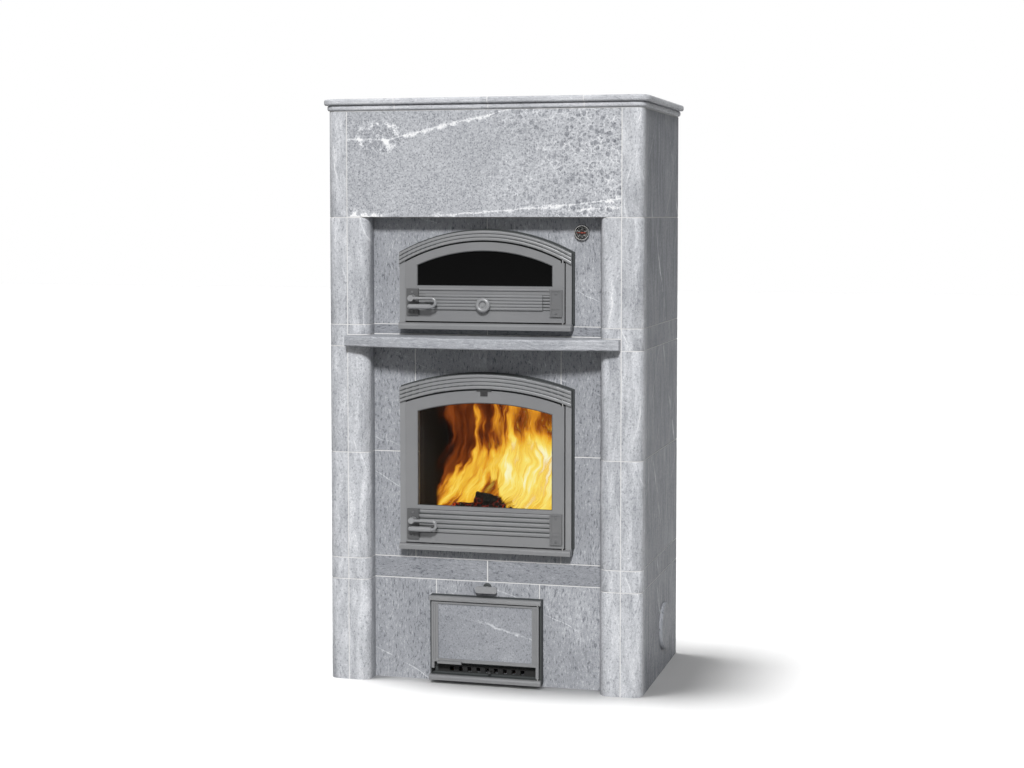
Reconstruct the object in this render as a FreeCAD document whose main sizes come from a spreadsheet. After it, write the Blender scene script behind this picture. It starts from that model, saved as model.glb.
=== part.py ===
import FreeCAD, Part
import math
import os
import re

import Sketcher

# A soapstone heater with a bake oven over its firebox.
# The origin is on the floor under the middle of the heater, +Z is up, the doors face -Y
# and +X is to the viewer's right. All sizes are in millimetres.

SIZES = [
    # Masonry shell
    ("width", 1050, "across the side walls"),
    ("depth", 638, "pier fronts to back wall"),
    ("side_wall", 66, "thickness of a side wall"),
    ("front_wall", 66, "thickness of the recessed front wall"),
    ("back_wall", 66, "thickness of the back wall"),
    ("recess_depth", 67, "pier fronts to the recessed wall"),
    ("pier_width", 69, "inner pier stone beside the side wall"),
    ("corner_radius", 30, "rounded upright corners"),
    ("joint", 3, "mortar joint"),
    ("joint_inset", 1, "mortar behind the stone faces"),
    ("base_course", 334, "height of the lowest course"),
    ("band", 68, "height of the two thin courses"),
    ("course", 347, "height of a full course"),
    ("top_course", 342, "height of the frieze course"),
    ("cornice_lower", 18, "lower moulding of the cornice"),
    ("cornice_upper", 20, "upper moulding of the cornice"),
    ("cornice_overhang", 18, "upper moulding past the walls"),
    ("cornice_step", 11, "lower moulding behind the upper one"),
    ("cornice_round", 7, "rounded edges of the cornice"),
    ("cornice_stone", 311.5, "width of a middle cornice stone"),
    ("cornice_shift", 23, "middle cornice joint from the centre line"),
    ("shelf_thickness", 35, "mantel shelf"),
    ("shelf_reach", 36, "shelf ends in front of the piers"),
    ("shelf_bow", 54, "bow of the shelf's front edge"),
    ("shelf_round", 5, "rounded front edges of the shelf"),
    ("base_slab", 30, "slab under the core"),
    ("roof_slab", 40, "slab under the cornice"),
    # Core
    ("firebox_width", 500, "between the linings"),
    ("firebox_depth", 316, "front wall to back lining"),
    ("core_wall", 68, "thickness of the side linings"),
    ("core_back", 60, "thickness of the back lining"),
    ("hearth", 40, "thickness of the firebox floor"),
    ("ash_room", 380, "width of the ash chamber"),
    ("oven_slab", 90, "thickness of the oven floor"),
    ("oven_wall", 200, "height of the oven's side walls"),
    ("vault_rise", 90, "rise of the oven vault"),
    ("vault_crown", 45, "thickness over the vault's crown"),
    ("smoke_slot_width", 300, "smoke slot through oven floor and vault"),
    ("smoke_slot", 60, "smoke slot, front to back"),
    ("smoke_slot_back", 20, "smoke slot from the back lining"),
    ("grate_width", 222, "fire grate"),
    ("grate_depth", 162, "fire grate, front to back"),
    ("grate_thickness", 15, "fire grate"),
    ("grate_ledge", 12, "rebate that carries the grate"),
    ("grate_slot", 12, "slot between grate bars"),
    ("grate_bar", 14, "grate bar"),
    ("ash_pan_height", 78, "ash pan"),
    ("ash_pan_gap", 15, "ash pan inside the ash door opening"),
    ("ash_pan_length", 290, "ash pan, front to back"),
    ("ash_pan_sheet", 2, "sheet of the ash pan"),
    # Soot plugs and flue
    ("plug_radius", 80, "soot plug's head"),
    ("plug_neck", 70, "soot plug's neck"),
    ("plug_head", 10, "soot plug's head past the wall"),
    ("plug_bevel", 5, "bevel round the soot plug's head"),
    ("plug_length", 56, "soot plug's neck in the wall"),
    ("plug_back", 73, "soot plug behind the middle"),
    ("plug_height", 151, "soot plug above the floor"),
    ("slack", 0.3, "gap between pieces that come apart"),
    ("flue_radius", 75, "bore of the flue collar"),
    ("flue_sheet", 4, "wall of the flue collar"),
    ("flue_lip", 40, "flue collar behind the back wall"),
    ("flue_flange", 14, "flue collar's flange past its tube"),
    ("flue_height", 170, "flue above the floor"),
    # Castings shared by the two arched doors
    ("door_width", 577, "arched door frame"),
    ("frame_proud", 40, "frame in front of the recessed wall"),
    ("flange_depth", 12, "frame's back flange"),
    ("flange_lap", 18, "flange behind the leaf's edge"),
    ("flange_rim", 4, "flange past the frame's outline"),
    ("frame_cover", 52.5, "frame over the edge of the wall opening"),
    ("jamb_width", 19, "jamb strip beside the leaf"),
    ("jamb_recess", 7, "jamb strip behind the frame's front"),
    ("flute_depth", 2, "flutes of the header"),
    ("sill_proud", 8, "sill in front of the frame"),
    ("leaf_gap", 2.5, "gap beside a leaf"),
    ("leaf_play", 4.5, "gap over and under a leaf"),
    ("leaf_depth", 23, "leaf's rim, front to back"),
    ("leaf_plate", 8, "leaf's front plate"),
    ("leaf_rim", 13, "width of the leaf's rim"),
    ("leaf_stile", 42, "leaf's stiles beside the window"),
    ("window_bevel", 3.5, "bevelled front edge of the windows"),
    ("glass_thickness", 4, "window glass"),
    ("glass_lap", 10, "glass behind the window's edge"),
    ("clip_length", 30, "glass clip"),
    ("clip_reach", 7, "glass clip over the glass"),
    ("clip_thickness", 3, "glass clip"),
    ("seal_width", 6, "rope seal on the leaf's rim"),
    ("seal_edge", 6.5, "rope seal from the leaf's edge"),
    ("rib_depth", 3.5, "ribs of the bottom rails"),
    ("rib_inset", 0.5, "ribs behind the leaf's front"),
    ("pin_radius", 2.5, "hinge pin"),
    ("pin_relief", 7, "leaf cut back round the upper pin"),
    ("pin_edge", 6.5, "hinge axis from the leaf's edge"),
    ("pin_front", 4, "hinge axis behind the leaf's front"),
    ("pin_depth", 18, "hinge pin in the leaf"),
    ("pin_seat", 14, "hinge pin in the frame"),
    ("running_clearance", 0.05, "radial clearance of turning pins"),
    ("plate_width", 40, "latch plate and hinge cover"),
    ("plate_thickness", 8, "latch plate and hinge cover"),
    ("plate_edge", 6.5, "hinge cover from the leaf's edge"),
    ("plate_field", 5, "border round the hinge cover's bare field"),
    ("plate_recess", 2, "depth of the hinge cover's bare field"),
    ("spindle_radius", 5, "latch spindle"),
    ("spindle_edge", 29, "latch spindle from the leaf's edge"),
    ("spindle_lift", 75.5, "latch spindle above the leaf's foot"),
    ("tongue_thickness", 6, "latch tongue"),
    ("tongue_width", 8, "latch tongue"),
    ("tongue_room", 22, "half height of the tongue's slot"),
    ("hub_radius", 10, "handle hub"),
    ("handle_length", 80, "handle's bars"),
    ("handle_spread", 27, "between the handle's bars"),
    ("handle_standoff", 32, "handle's bars in front of the leaf"),
    ("handle_rod", 5, "radius of the handle's rod"),
    ("handle_grip", 8.5, "radius of the handle's grip"),
    ("grip_taper", 5, "tapered ends of the grip"),
    # Firebox door
    ("fire_lift", 32, "frame above the foot of the firebox wall"),
    ("fire_sill", 19, "sill height"),
    ("fire_side", 533, "frame height at its sides"),
    ("fire_rise", 48, "rise of the frame's arch"),
    ("fire_header", 49, "height of the fluted header"),
    ("fire_opening", 498, "height of the wall opening"),
    ("fire_rail", 124, "leaf's bottom rail"),
    ("fire_window", 307, "window height at its sides"),
    ("fire_window_rise", 31, "rise of the window's arch"),
    ("fire_rib_lift", 32, "ribs above the leaf's foot"),
    ("fire_rib", 15.6, "pitch of the ribs"),
    ("fire_plate_lift", 12, "plates above the leaf's foot"),
    ("fire_plate", 99, "height of the plates"),
    ("catch_width", 24, "top catch"),
    ("catch_height", 20, "top catch"),
    ("catch_flange", 50, "top catch's flange over the leaf"),
    ("catch_reach", 12, "top catch's flange behind the leaf's front"),
    ("catch_sheet", 2.5, "sheet of the top catch"),
    ("catch_pin", 2.5, "radius of the top catch's pin"),
    # Oven door
    ("oven_lift", 57, "frame above the shelf's underside"),
    ("oven_sill", 21, "sill height"),
    ("oven_side", 249, "frame height at its sides"),
    ("oven_rise", 72.5, "rise of the frame's arch"),
    ("oven_header", 33.5, "height of the fluted header"),
    ("oven_opening", 241, "height of the wall opening"),
    ("oven_rail", 117, "leaf's bottom rail"),
    ("oven_window", 64, "window height at its sides"),
    ("oven_window_rise", 47, "rise of the window's arch"),
    ("oven_rib_lift", 38, "ribs above the leaf's foot"),
    ("oven_rib", 10.2, "pitch of the ribs"),
    ("oven_plate_lift", 20, "plates above the leaf's foot"),
    ("oven_plate", 86, "height of the plates"),
    ("bead_lift", 99, "bead over the air bar, above the leaf's foot"),
    ("bead", 11, "height of the bead"),
    ("bead_proud", 4, "bead in front of the leaf"),
    ("air_bar", 392, "length of the sliding air bar"),
    ("air_bar_thickness", 6, "sliding air bar"),
    ("air_travel", 18, "air bar's travel each way"),
    ("air_pin", 4, "radius of the air bar's guide pins"),
    ("air_guide", 170, "guide pins from the middle"),
    ("washer_radius", 8, "washers behind the leaf"),
    ("washer", 2.5, "thickness of the washers"),
    ("knob_lift", 55, "air knob above the leaf's foot"),
    ("knob_radius", 17.5, "air knob's ring"),
    ("knob_tube", 7, "half thickness of the air knob's ring"),
    ("knob_neck", 8, "air knob's ring in front of the bar"),
    ("knob_boss", 5.5, "radius of the boss inside the ring"),
    # Ash door
    ("ash_width", 377, "ash door frame"),
    ("ash_lift", 10, "frame above the floor"),
    ("ash_height", 278, "ash door frame"),
    ("ash_rail", 15, "top rail"),
    ("ash_sill", 17, "sill"),
    ("ash_cheek", 5, "side cheek of the frame"),
    ("ash_cheek_recess", 14, "cheek behind the frame's front"),
    ("ash_flange", 5, "back flange of the frame"),
    ("ash_stop", 5, "width of the strips the leaf closes on"),
    ("ash_cover", 23.5, "frame over the edge of the wall opening"),
    ("ash_cover_top", 13, "frame over the lintel"),
    ("ash_gap", 2, "gap beside the ash door leaf"),
    ("ash_head_gap", 4.5, "gap over the ash door leaf"),
    ("ash_draught", 43, "air gap under the leaf"),
    ("ash_leaf_recess", 4, "leaf behind the frame's front"),
    ("ash_leaf", 18, "leaf, front to back"),
    ("ash_stile", 22.5, "leaf's stiles"),
    ("ash_foot_rail", 11, "leaf's bottom rail"),
    ("ash_head_rail", 6, "leaf's top rail"),
    ("ash_lip", 4, "leaf's lip in front of the panel"),
    ("ash_rebate", 4, "panel behind the leaf's lip"),
    ("ash_panel", 12, "soapstone panel"),
    ("ash_panel_gap", 0.3, "gap round the panel"),
    ("stile_groove", 3, "grooves down the stiles"),
    ("groove_depth", 1.5, "grooves down the stiles"),
    ("lip_length", 82, "finger lip"),
    ("lip_height", 8, "finger lip"),
    ("lip_proud", 10, "finger lip"),
    ("ash_pin", 2.5, "radius of the ash door's hinge pins"),
    ("ash_pin_edge", 4.5, "hinge axis from the leaf's edge"),
    ("ash_pin_front", 4, "hinge axis behind the leaf's front"),
    ("post_width", 9.5, "posts under the leaf"),
    ("post_depth", 8, "posts under the leaf"),
    ("hinge_post", 38, "hinge post's length"),
    ("latch_post", 22, "latch side post's length"),
    ("slide_plate", 334, "length of the ash door's air slide"),
    ("slide_height", 30, "ash door's air slide"),
    ("slide_sheet", 3, "ash door's air slide"),
    ("slide_keeper", 5, "keepers and guide of the air slide"),
    ("slide_slot", 14, "air slots in slide and frame"),
    ("slide_slot_bar", 16, "between the air slots"),
    ("slide_slot_edge", 7, "air slots from the slide's edges"),
    ("slide_knob", 2.5, "radius of the air slide's knob"),
    ("slide_knob_reach", 26, "air slide's knob"),
    # Damper pull and thermometer
    ("damper_drop", 16.5, "damper rod below the top of the base course"),
    ("damper_rod", 5, "radius of the damper rod"),
    ("damper_disc", 30, "radius of the damper disc"),
    ("damper_plate", 4, "thickness of the damper disc"),
    ("damper_inside", 60, "damper disc behind the front wall"),
    ("grip_width", 72, "damper grip"),
    ("grip_height", 22, "damper grip"),
    ("grip_drop", 6, "damper grip's middle below its rod"),
    ("grip_thickness", 7, "damper grip"),
    ("grip_standoff", 14, "damper grip in front of the wall"),
    ("rosette_radius", 14, "damper rosette"),
    ("rosette", 6, "damper rosette"),
    ("dial_edge", 71, "thermometer from the pier"),
    ("dial_lift", 300, "thermometer above the foot of the oven wall"),
    ("dial_radius", 25, "thermometer case"),
    ("dial_depth", 11, "thermometer case"),
    ("bezel", 3.5, "rim of the thermometer case"),
    ("dial_well", 7, "depth inside the thermometer's rim"),
    ("dial_plate", 1, "dial"),
    ("dial_glass", 1.5, "thermometer glass"),
    ("stem_radius", 4, "thermometer stem"),
    ("stem_length", 55, "thermometer stem"),
    ("needle_length", 17, "thermometer needle"),
    ("needle_tail", 11.3, "needle's counterweight end"),
    ("needle_width", 1.6, "thermometer needle"),
    ("needle_hub", 2.5, "radius of the needle's hub"),
    ("arbor_radius", 0.8, "needle's arbor"),
]

FIRE_FLUTES = 4
OVEN_FLUTES = 3
RIBS = 5
GRATE_SLOTS = 7
SLIDE_SLOTS = 9

FUNCTIONS = {"sqrt"}
TURN_TO_AXIS = {
    "x": FreeCAD.Rotation(FreeCAD.Vector(0, 1, 0), 90),
    "y": FreeCAD.Rotation(FreeCAD.Vector(1, 0, 0), -90),
    "z": FreeCAD.Rotation(),
}

doc = FreeCAD.newDocument("soapstone_heater")
sheet = doc.addObject("Spreadsheet::Sheet", "Sizes")
for row, (name, size, note) in enumerate(SIZES, start=1):
    sheet.set(f"A{row}", note)
    sheet.set(f"B{row}", str(size))
    sheet.setAlias(f"B{row}", name)
doc.recompute()

subparts = []


def value(text):
    return float(sheet.evalExpression(text))


def bind(item, prop, text):
    def cell(match):
        word = match.group()
        return word if word in FUNCTIONS else f"Sizes.{word}"
    item.setExpression(prop, re.sub(r"[a-z][a-z_]*", cell, text))


def subpart(name, item):
    item.Label = name
    subparts.append(item)
    return item


# Primitives and booleans

def box(x, y, z):
    item = doc.addObject("Part::Box", "box")
    sides = ("Length", "Width", "Height")
    for side, axis, (low, high) in zip(sides, "xyz", (x, y, z)):
        bind(item, side, f"({high}) - ({low})")
        bind(item, f".Placement.Base.{axis}", low)
    return item


def rod(axis, at, span, radius, tip_radius=None):
    """A round bar along an axis, tapered where a tip radius is given."""
    low, high = span
    item = doc.addObject("Part::Cone" if tip_radius else "Part::Cylinder", "rod")
    item.Placement = FreeCAD.Placement(FreeCAD.Vector(), TURN_TO_AXIS[axis])
    if tip_radius:
        bind(item, "Radius1", radius)
        bind(item, "Radius2", tip_radius)
    else:
        bind(item, "Radius", radius)
    bind(item, "Height", f"({high}) - ({low})")
    across = [letter for letter in "xyz" if letter != axis]
    bind(item, f".Placement.Base.{axis}", low)
    for letter, place in zip(across, at):
        bind(item, f".Placement.Base.{letter}", place)
    return item


def group(*items):
    item = doc.addObject("Part::Compound", "group")
    item.Links = list(items)
    return item


def fuse(*items):
    item = doc.addObject("Part::MultiFuse", "fuse")
    item.Shapes = list(items)
    return item


def cut(base, *tools):
    item = doc.addObject("Part::Cut", "cut")
    item.Base = base
    item.Tool = tools[0] if len(tools) == 1 else fuse(*tools)
    return item


def common(base, tool):
    item = doc.addObject("Part::Common", "common")
    item.Base = base
    item.Tool = tool
    return item


def mirrored(source):
    item = doc.addObject("Part::Mirroring", "mirror")
    item.Source = source
    item.Normal = FreeCAD.Vector(1, 0, 0)
    return item


def both(near, far):
    """The span from near to far on the right of the centre line, and its mirror image."""
    return [(near, far), (f"-({far})", f"-({near})")]


def middle(half):
    return f"-({half})", half


# Sketched solids

def arc_between(start, end, radius):
    """The short counter-clockwise arc from start to end."""
    chord = end - start
    reach = math.sqrt(max(radius**2 - (chord.Length / 2) ** 2, 0))
    left = FreeCAD.Vector(-chord.y, chord.x, 0).normalize()
    centre = (start + end) / 2 + left * reach
    angles = [math.atan2(p.y - centre.y, p.x - centre.x) for p in (start, end)]
    circle = Part.Circle(centre, FreeCAD.Vector(0, 0, 1), radius)
    return Part.ArcOfCircle(circle, *angles)


def draw(sketch, corners):
    """A closed outline. A corner is (x, y), or (x, y, radius) where an arc leads to the next one."""
    points = [FreeCAD.Vector(value(c[0]), value(c[1]), 0) for c in corners]
    edges = []
    for corner, start, end in zip(corners, points, points[1:] + points[:1]):
        if len(corner) == 2:
            edges.append(sketch.addGeometry(Part.LineSegment(start, end), False))
        else:
            edges.append(sketch.addGeometry(arc_between(start, end, value(corner[2])), False))
    for edge, following, corner in zip(edges, edges[1:] + edges[:1], corners):
        sketch.addConstraint(Sketcher.Constraint("Coincident", edge, 2, following, 1))
        place = (("DistanceX", corner[0]), ("DistanceY", corner[1]))
        for kind, text in place:
            constraint = Sketcher.Constraint(kind, -1, 1, edge, 1, value(text))
            index = sketch.addConstraint(constraint)
            bind(sketch, f"Constraints[{index}]", text)
        if len(corner) == 3:
            index = sketch.addConstraint(Sketcher.Constraint("Radius", edge, value(corner[2])))
            bind(sketch, f"Constraints[{index}]", corner[2])


def sketch_on(body, plane, offset, *outlines):
    sketch = body.newObject("Sketcher::SketchObject", "sketch")
    origin = [f for f in body.Origin.OriginFeatures if f.Role == plane]
    sketch.AttachmentSupport = [(origin[0], "")]
    sketch.MapMode = "FlatFace"
    bind(sketch, ".AttachmentOffset.Base.z", offset)
    for corners in outlines:
        draw(sketch, corners)
    return sketch


def new_body():
    return doc.addObject("PartDesign::Body", "body")


def pad(body, plane, offset, length, *outlines):
    sketch = sketch_on(body, plane, offset, *outlines)
    feature = body.newObject("PartDesign::Pad", "pad")
    feature.Profile = sketch
    bind(feature, "Length", length)
    doc.recompute()
    return body


def pocket(body, plane, offset, length, *outlines, reverse=False):
    before = body.Shape.Volume
    sketch = sketch_on(body, plane, offset, *outlines)
    feature = body.newObject("PartDesign::Pocket", "pocket")
    feature.Profile = sketch
    feature.Reversed = reverse
    bind(feature, "Length", length)
    doc.recompute()
    if not body.Shape.Volume < before:
        raise ValueError(f"a pocket of {body.Label} cuts nothing")
    return body


def ease_edges(body, kind, prop, size, chosen):
    """Fillets or chamfers the edges of a body that the given test picks by their bounds."""
    base = body.Tip
    names = []
    for number, edge in enumerate(base.Shape.Edges, start=1):
        if chosen(edge):
            names.append(f"Edge{number}")
    feature = body.newObject(f"PartDesign::{kind}", kind.lower())
    feature.Base = (base, names)
    bind(feature, prop, size)
    doc.recompute()
    return body


def round_edges(body, radius, chosen):
    return ease_edges(body, "Fillet", "Radius", radius, chosen)


def bevel_edges(body, size, chosen):
    return ease_edges(body, "Chamfer", "Size", size, chosen)


def plan(foot, height, *outlines):
    return pad(new_body(), "XY_Plane", foot, height, *outlines)


def plate(back, thickness, *outlines):
    """A plate in the XZ plane from its back face forward."""
    return pad(new_body(), "XZ_Plane", f"-({back})", thickness, *outlines)


def bar(start, length, *outlines):
    """A bar along X with a section in the YZ plane."""
    return pad(new_body(), "YZ_Plane", start, length, *outlines)


def rectangle(x, y):
    return [(x[0], y[0]), (x[1], y[0]), (x[1], y[1]), (x[0], y[1])]


# Levels and planes that many pieces share

half = "width / 2"
front = "(-depth / 2)"
recess = f"({front} + recess_depth)"
core_front = f"({recess} + front_wall)"
back = "(depth / 2)"
back_in = f"({back} - back_wall)"
side_in = f"({half} - side_wall)"
fill = f"({side_in} - joint)"
pier_in = f"({fill} - pier_width)"

band_z = "(base_course + joint)"
fire_z = f"({band_z} + band + joint)"
fire_upper_z = f"({fire_z} + course + joint)"
shelf_z = f"({fire_upper_z} + course + joint)"
oven_z = f"({shelf_z} + band + joint)"
frieze_z = f"({oven_z} + course + joint)"
cornice_z = f"({frieze_z} + top_course + joint)"
shelf_top = f"({shelf_z} + shelf_thickness)"

door_half = "(door_width / 2)"
frame_front = f"({recess} - frame_proud)"
opening_half = f"({door_half} - frame_cover)"
wall_y = (recess, core_front)
through_wall = (f"{recess} - joint", f"{core_front} + joint")

ash_half = "(ash_width / 2)"
ash_open = f"({ash_half} - ash_cover)"
ash_top = "(ash_lift + ash_height)"
ash_open_top = f"({ash_top} - ash_cover_top)"
lintel_bearing = "(joint * 3)"


def door_levels(key):
    """Heights of one arched door, from the foot of its frame to its arch's centre."""
    foot = f"({fire_z} + fire_lift)" if key == "fire" else f"({shelf_z} + oven_lift)"
    level = {"foot": foot}
    level["sill_top"] = f"({foot} + {key}_sill)"
    level["leaf"] = f"({level['sill_top']} + leaf_play)"
    level["side"] = f"({foot} + {key}_side)"
    level["radius"] = f"(({door_half}^2 + {key}_rise^2) / (2 * {key}_rise))"
    level["centre"] = f"({level['side']} + {key}_rise - {level['radius']})"
    level["inner"] = f"({level['radius']} - {key}_header)"
    level["window"] = f"({level['leaf']} + {key}_rail)"
    level["open_foot"] = f"({level['sill_top']} + joint)"
    level["open_top"] = f"({level['open_foot']} + {key}_opening)"
    return level


fire = door_levels("fire")
oven = door_levels("oven")

# Mortar joints: the stones are sawn apart along them and the mortar fills them

bed_levels = [band_z, fire_z, fire_upper_z, shelf_z, oven_z, frieze_z]
everywhere = [middle("width"), middle("depth")]


def bed(top):
    return box(*everywhere, (f"{top} - joint", top))


beds = group(*[bed(top) for top in bed_levels])


def upright_joints(spans, y, z):
    return [box(span, y, z) for span in spans]


def stone_frame_joints(half_open, z_foot, z_head, lintel):
    """The joints round a stone whose ends bear on the stones beside the opening."""
    ends = f"({half_open} + {lintel_bearing})"
    sides = upright_joints(both(ends, f"{ends} + joint"), wall_y, (z_foot, z_head))
    bed_z = (z_foot, f"{z_foot} + joint") if lintel else (f"{z_head} - joint", z_head)
    return sides + upright_joints(both(half_open, f"{ends} + joint"), wall_y, bed_z)


centre_joint = middle("joint / 2")
shelf_bed = box(middle(fill), (front, core_front), (shelf_top, f"{shelf_top} + joint"))
ash_lintel_joints = stone_frame_joints(ash_open, ash_open_top, "base_course", True)
fire_lintel_joints = stone_frame_joints(
    opening_half, fire["open_top"], f"{shelf_z} - joint", True)
fire_sill_joints = stone_frame_joints(opening_half, fire_z, fire["open_foot"], False)
band_joint = box(centre_joint, wall_y, (band_z, f"{fire_z} - joint"))
upper_band_joint = box(centre_joint, wall_y, (f"{shelf_top} + joint", f"{oven_z} - joint"))
oven_joint = box(centre_joint, wall_y, (oven_z, f"{frieze_z} - joint"))

# Openings through the recessed wall

ash_opening = box(middle(ash_open), through_wall, ("-joint", f"{ash_open_top} + joint"))
fire_opening = box(
    middle(opening_half), through_wall, (fire["open_foot"], f"{fire['open_top']} + joint"))
oven_opening = box(middle(opening_half), through_wall, (oven["open_foot"], oven["open_top"]))
damper_z = "(base_course - damper_drop)"
dial_z = f"({oven_z} + dial_lift)"
damper_hole = rod("y", ("0", damper_z), (f"{recess} - rosette - joint", through_wall[1]),
                  "damper_rod + running_clearance")
dial_x = f"({pier_in} - dial_edge)"
stem_hole = rod("y", (dial_x, dial_z), through_wall, "stem_radius")


# Side walls, piers and back wall

def side_outline(inset):
    edge = f"({half} - {inset})"
    face = f"({front} + {inset})"
    bend = f"(corner_radius - {inset})"
    return [
        (side_in, face),
        (f"{edge} - {bend}", face, bend),
        (edge, f"{face} + {bend}"),
        (edge, f"{back} - {inset}"),
        (side_in, f"{back} - {inset}"),
    ]


side_blank = plan("0", f"{cornice_z} - joint", side_outline("0"))
plug_axis = ("plug_back", "plug_height")
plug_hole = rod("x", plug_axis, (f"{side_in} - joint", "width"), "plug_neck + slack")
right_stones = cut(side_blank, fuse(*beds.Links, plug_hole))
subpart("side_wall_stones", group(right_stones, mirrored(right_stones)))

pier_blank = plan("0", f"{frieze_z} - joint", [
    (f"{pier_in} + corner_radius", front),
    (fill, front),
    (fill, f"{recess} - joint"),
    (pier_in, f"{recess} - joint"),
    (pier_in, f"{front} + corner_radius", "corner_radius"),
])
shelf_room = box(middle(fill), everywhere[1], (f"{shelf_z} - joint", f"{shelf_top} + joint"))
right_pier = cut(pier_blank, fuse(*beds.Links, shelf_room))
subpart("pier_stones", group(right_pier, mirrored(right_pier)))

back_blank = box(middle(fill), (back_in, back), ("0", f"{cornice_z} - joint"))
flue_axis = ("0", "flue_height")
flue_outer = "(flue_radius + flue_sheet)"
flue_hole = rod("y", flue_axis, (f"{back_in} - joint", f"{back} + joint"), flue_outer)
subpart("back_wall_stones", cut(back_blank, fuse(*beds.Links, flue_hole)))

# Recessed front wall

base_blank = box(middle(fill), wall_y, ("0", "base_course"))
subpart("base_front_stones", cut(base_blank, ash_opening, damper_hole, *ash_lintel_joints))

lower_band = box(middle(fill), wall_y, (band_z, f"{fire_z} - joint"))
upper_band = box(middle(fill), wall_y, (f"{shelf_top} + joint", f"{oven_z} - joint"))
subpart("band_stones", group(cut(lower_band, band_joint), cut(upper_band, upper_band_joint)))

fire_blank = box(middle(fill), wall_y, (fire_z, f"{shelf_z} - joint"))
subpart("firebox_wall_stones", cut(
    fire_blank, fire_opening, bed(fire_upper_z), *fire_lintel_joints, *fire_sill_joints))

oven_blank = box(middle(fill), wall_y, (oven_z, f"{frieze_z} - joint"))
subpart("oven_wall_stones", cut(oven_blank, oven_opening, oven_joint, stem_hole))

subpart("frieze_stone", box(
    middle(fill), (front, recess), (frieze_z, f"{cornice_z} - joint")))

# Bow-fronted mantel shelf

shelf_end = f"({front} - shelf_reach)"
bow_radius = f"(({fill}^2 + shelf_bow^2) / (2 * shelf_bow))"
shelf = plan(shelf_z, "shelf_thickness", [
    (f"-{fill}", shelf_end, bow_radius),
    (fill, shelf_end),
    (fill, core_front),
    (f"-{fill}", core_front),
])
shelf_front = value(f"{shelf_end} - shelf_bow / 2")
round_edges(shelf, "shelf_round", lambda edge: edge.BoundBox.YMin < shelf_front
            and edge.BoundBox.ZLength < value("joint_inset"))
subpart("mantel_shelf", shelf)

# Moulded cornice, four stones across


def cornice_tier(foot, height, overhang):
    edge = f"({half} + {overhang})"
    face = f"({front} - {overhang})"
    bend = f"(corner_radius + {overhang})"
    tier = plan(foot, height, [
        (f"-{edge} + {bend}", face),
        (f"{edge} - {bend}", face, bend),
        (edge, f"{face} + {bend}"),
        (edge, back),
        (f"-{edge}", back),
        (f"-{edge}", f"{face} + {bend}", bend),
    ])
    flat = value("joint_inset")
    back_edge = value(back) - flat
    return round_edges(tier, "cornice_round", lambda edge: edge.BoundBox.ZLength < flat
                       and edge.BoundBox.YMin < back_edge)


cornice_mid = f"({cornice_z} + cornice_lower)"
cornice_top = f"({cornice_mid} + cornice_upper)"
cornice = fuse(
    cornice_tier(cornice_z, "cornice_lower", "(cornice_overhang - cornice_step)"),
    cornice_tier(cornice_mid, "cornice_upper", "cornice_overhang"))
cornice_gaps = []
for place in (-1, 0, 1):
    gap = f"(cornice_shift + {place} * (cornice_stone + joint))"
    span = (f"{gap} - joint / 2", f"{gap} + joint / 2")
    cornice_gaps.append(box(span, everywhere[1], (cornice_z, cornice_top)))
subpart("cornice_stones", cut(cornice, *cornice_gaps))

# Mortar


def shell_outline(inset):
    edge = f"({half} - {inset})"
    face = f"({front} + {inset})"
    wall = f"({recess} + {inset})"
    pier = f"({pier_in} + {inset})"
    bend = f"(corner_radius - {inset})"
    return [
        (f"-{edge}", f"{face} + {bend}", bend),
        (f"-{edge} + {bend}", face),
        (f"-{pier} - {bend}", face, bend),
        (f"-{pier}", f"{face} + {bend}"),
        (f"-{pier}", wall),
        (pier, wall),
        (pier, f"{face} + {bend}", bend),
        (f"{pier} + {bend}", face),
        (f"{edge} - {bend}", face, bend),
        (edge, f"{face} + {bend}"),
        (edge, f"{back} - {inset}"),
        (f"-{edge}", f"{back} - {inset}"),
    ]


def closed_outline(inset):
    outline = shell_outline(inset)
    return outline[:2] + outline[8:]


lower_shell = plan("0", frieze_z, shell_outline("joint_inset"),
                   rectangle(middle(side_in), (core_front, back_in)))
upper_shell = plan(frieze_z, f"{cornice_z} - {frieze_z}", closed_outline("joint_inset"),
                   rectangle(middle(side_in), (recess, back_in)))
side_joint = both(fill, side_in)
wall_top = ("0", f"{cornice_z} - joint")
pier_joint = both(pier_in, fill)
joints = fuse(
    *[bed(top) for top in bed_levels + [cornice_z]],
    *upright_joints(side_joint, (front, core_front), wall_top),
    *upright_joints(side_joint, (back_in, back), wall_top),
    *upright_joints(pier_joint, (f"{recess} - joint", recess), ("0", f"{frieze_z} - joint")),
    *ash_lintel_joints, *fire_lintel_joints, *fire_sill_joints,
    shelf_bed, band_joint, upper_band_joint, oven_joint)
shelf_space = box(middle(fill), everywhere[1], (shelf_z, shelf_top))
shell_mortar = cut(
    common(fuse(lower_shell, upper_shell), joints),
    ash_opening, fire_opening, oven_opening, shelf_space, damper_hole)
cornice_mortar = common(fuse(*cornice_gaps), cornice)
subpart("mortar_joints", group(shell_mortar, cornice_mortar))

# Core: base slab, ash chamber, firebox, oven, upper walls and roof slab

base_main = box(middle(side_in), (core_front, back_in), ("0", "base_slab"))
base_tongue = box(middle(ash_open), wall_y, ("0", "base_slab"))
subpart("base_slab", fuse(base_main, base_tongue))

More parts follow.
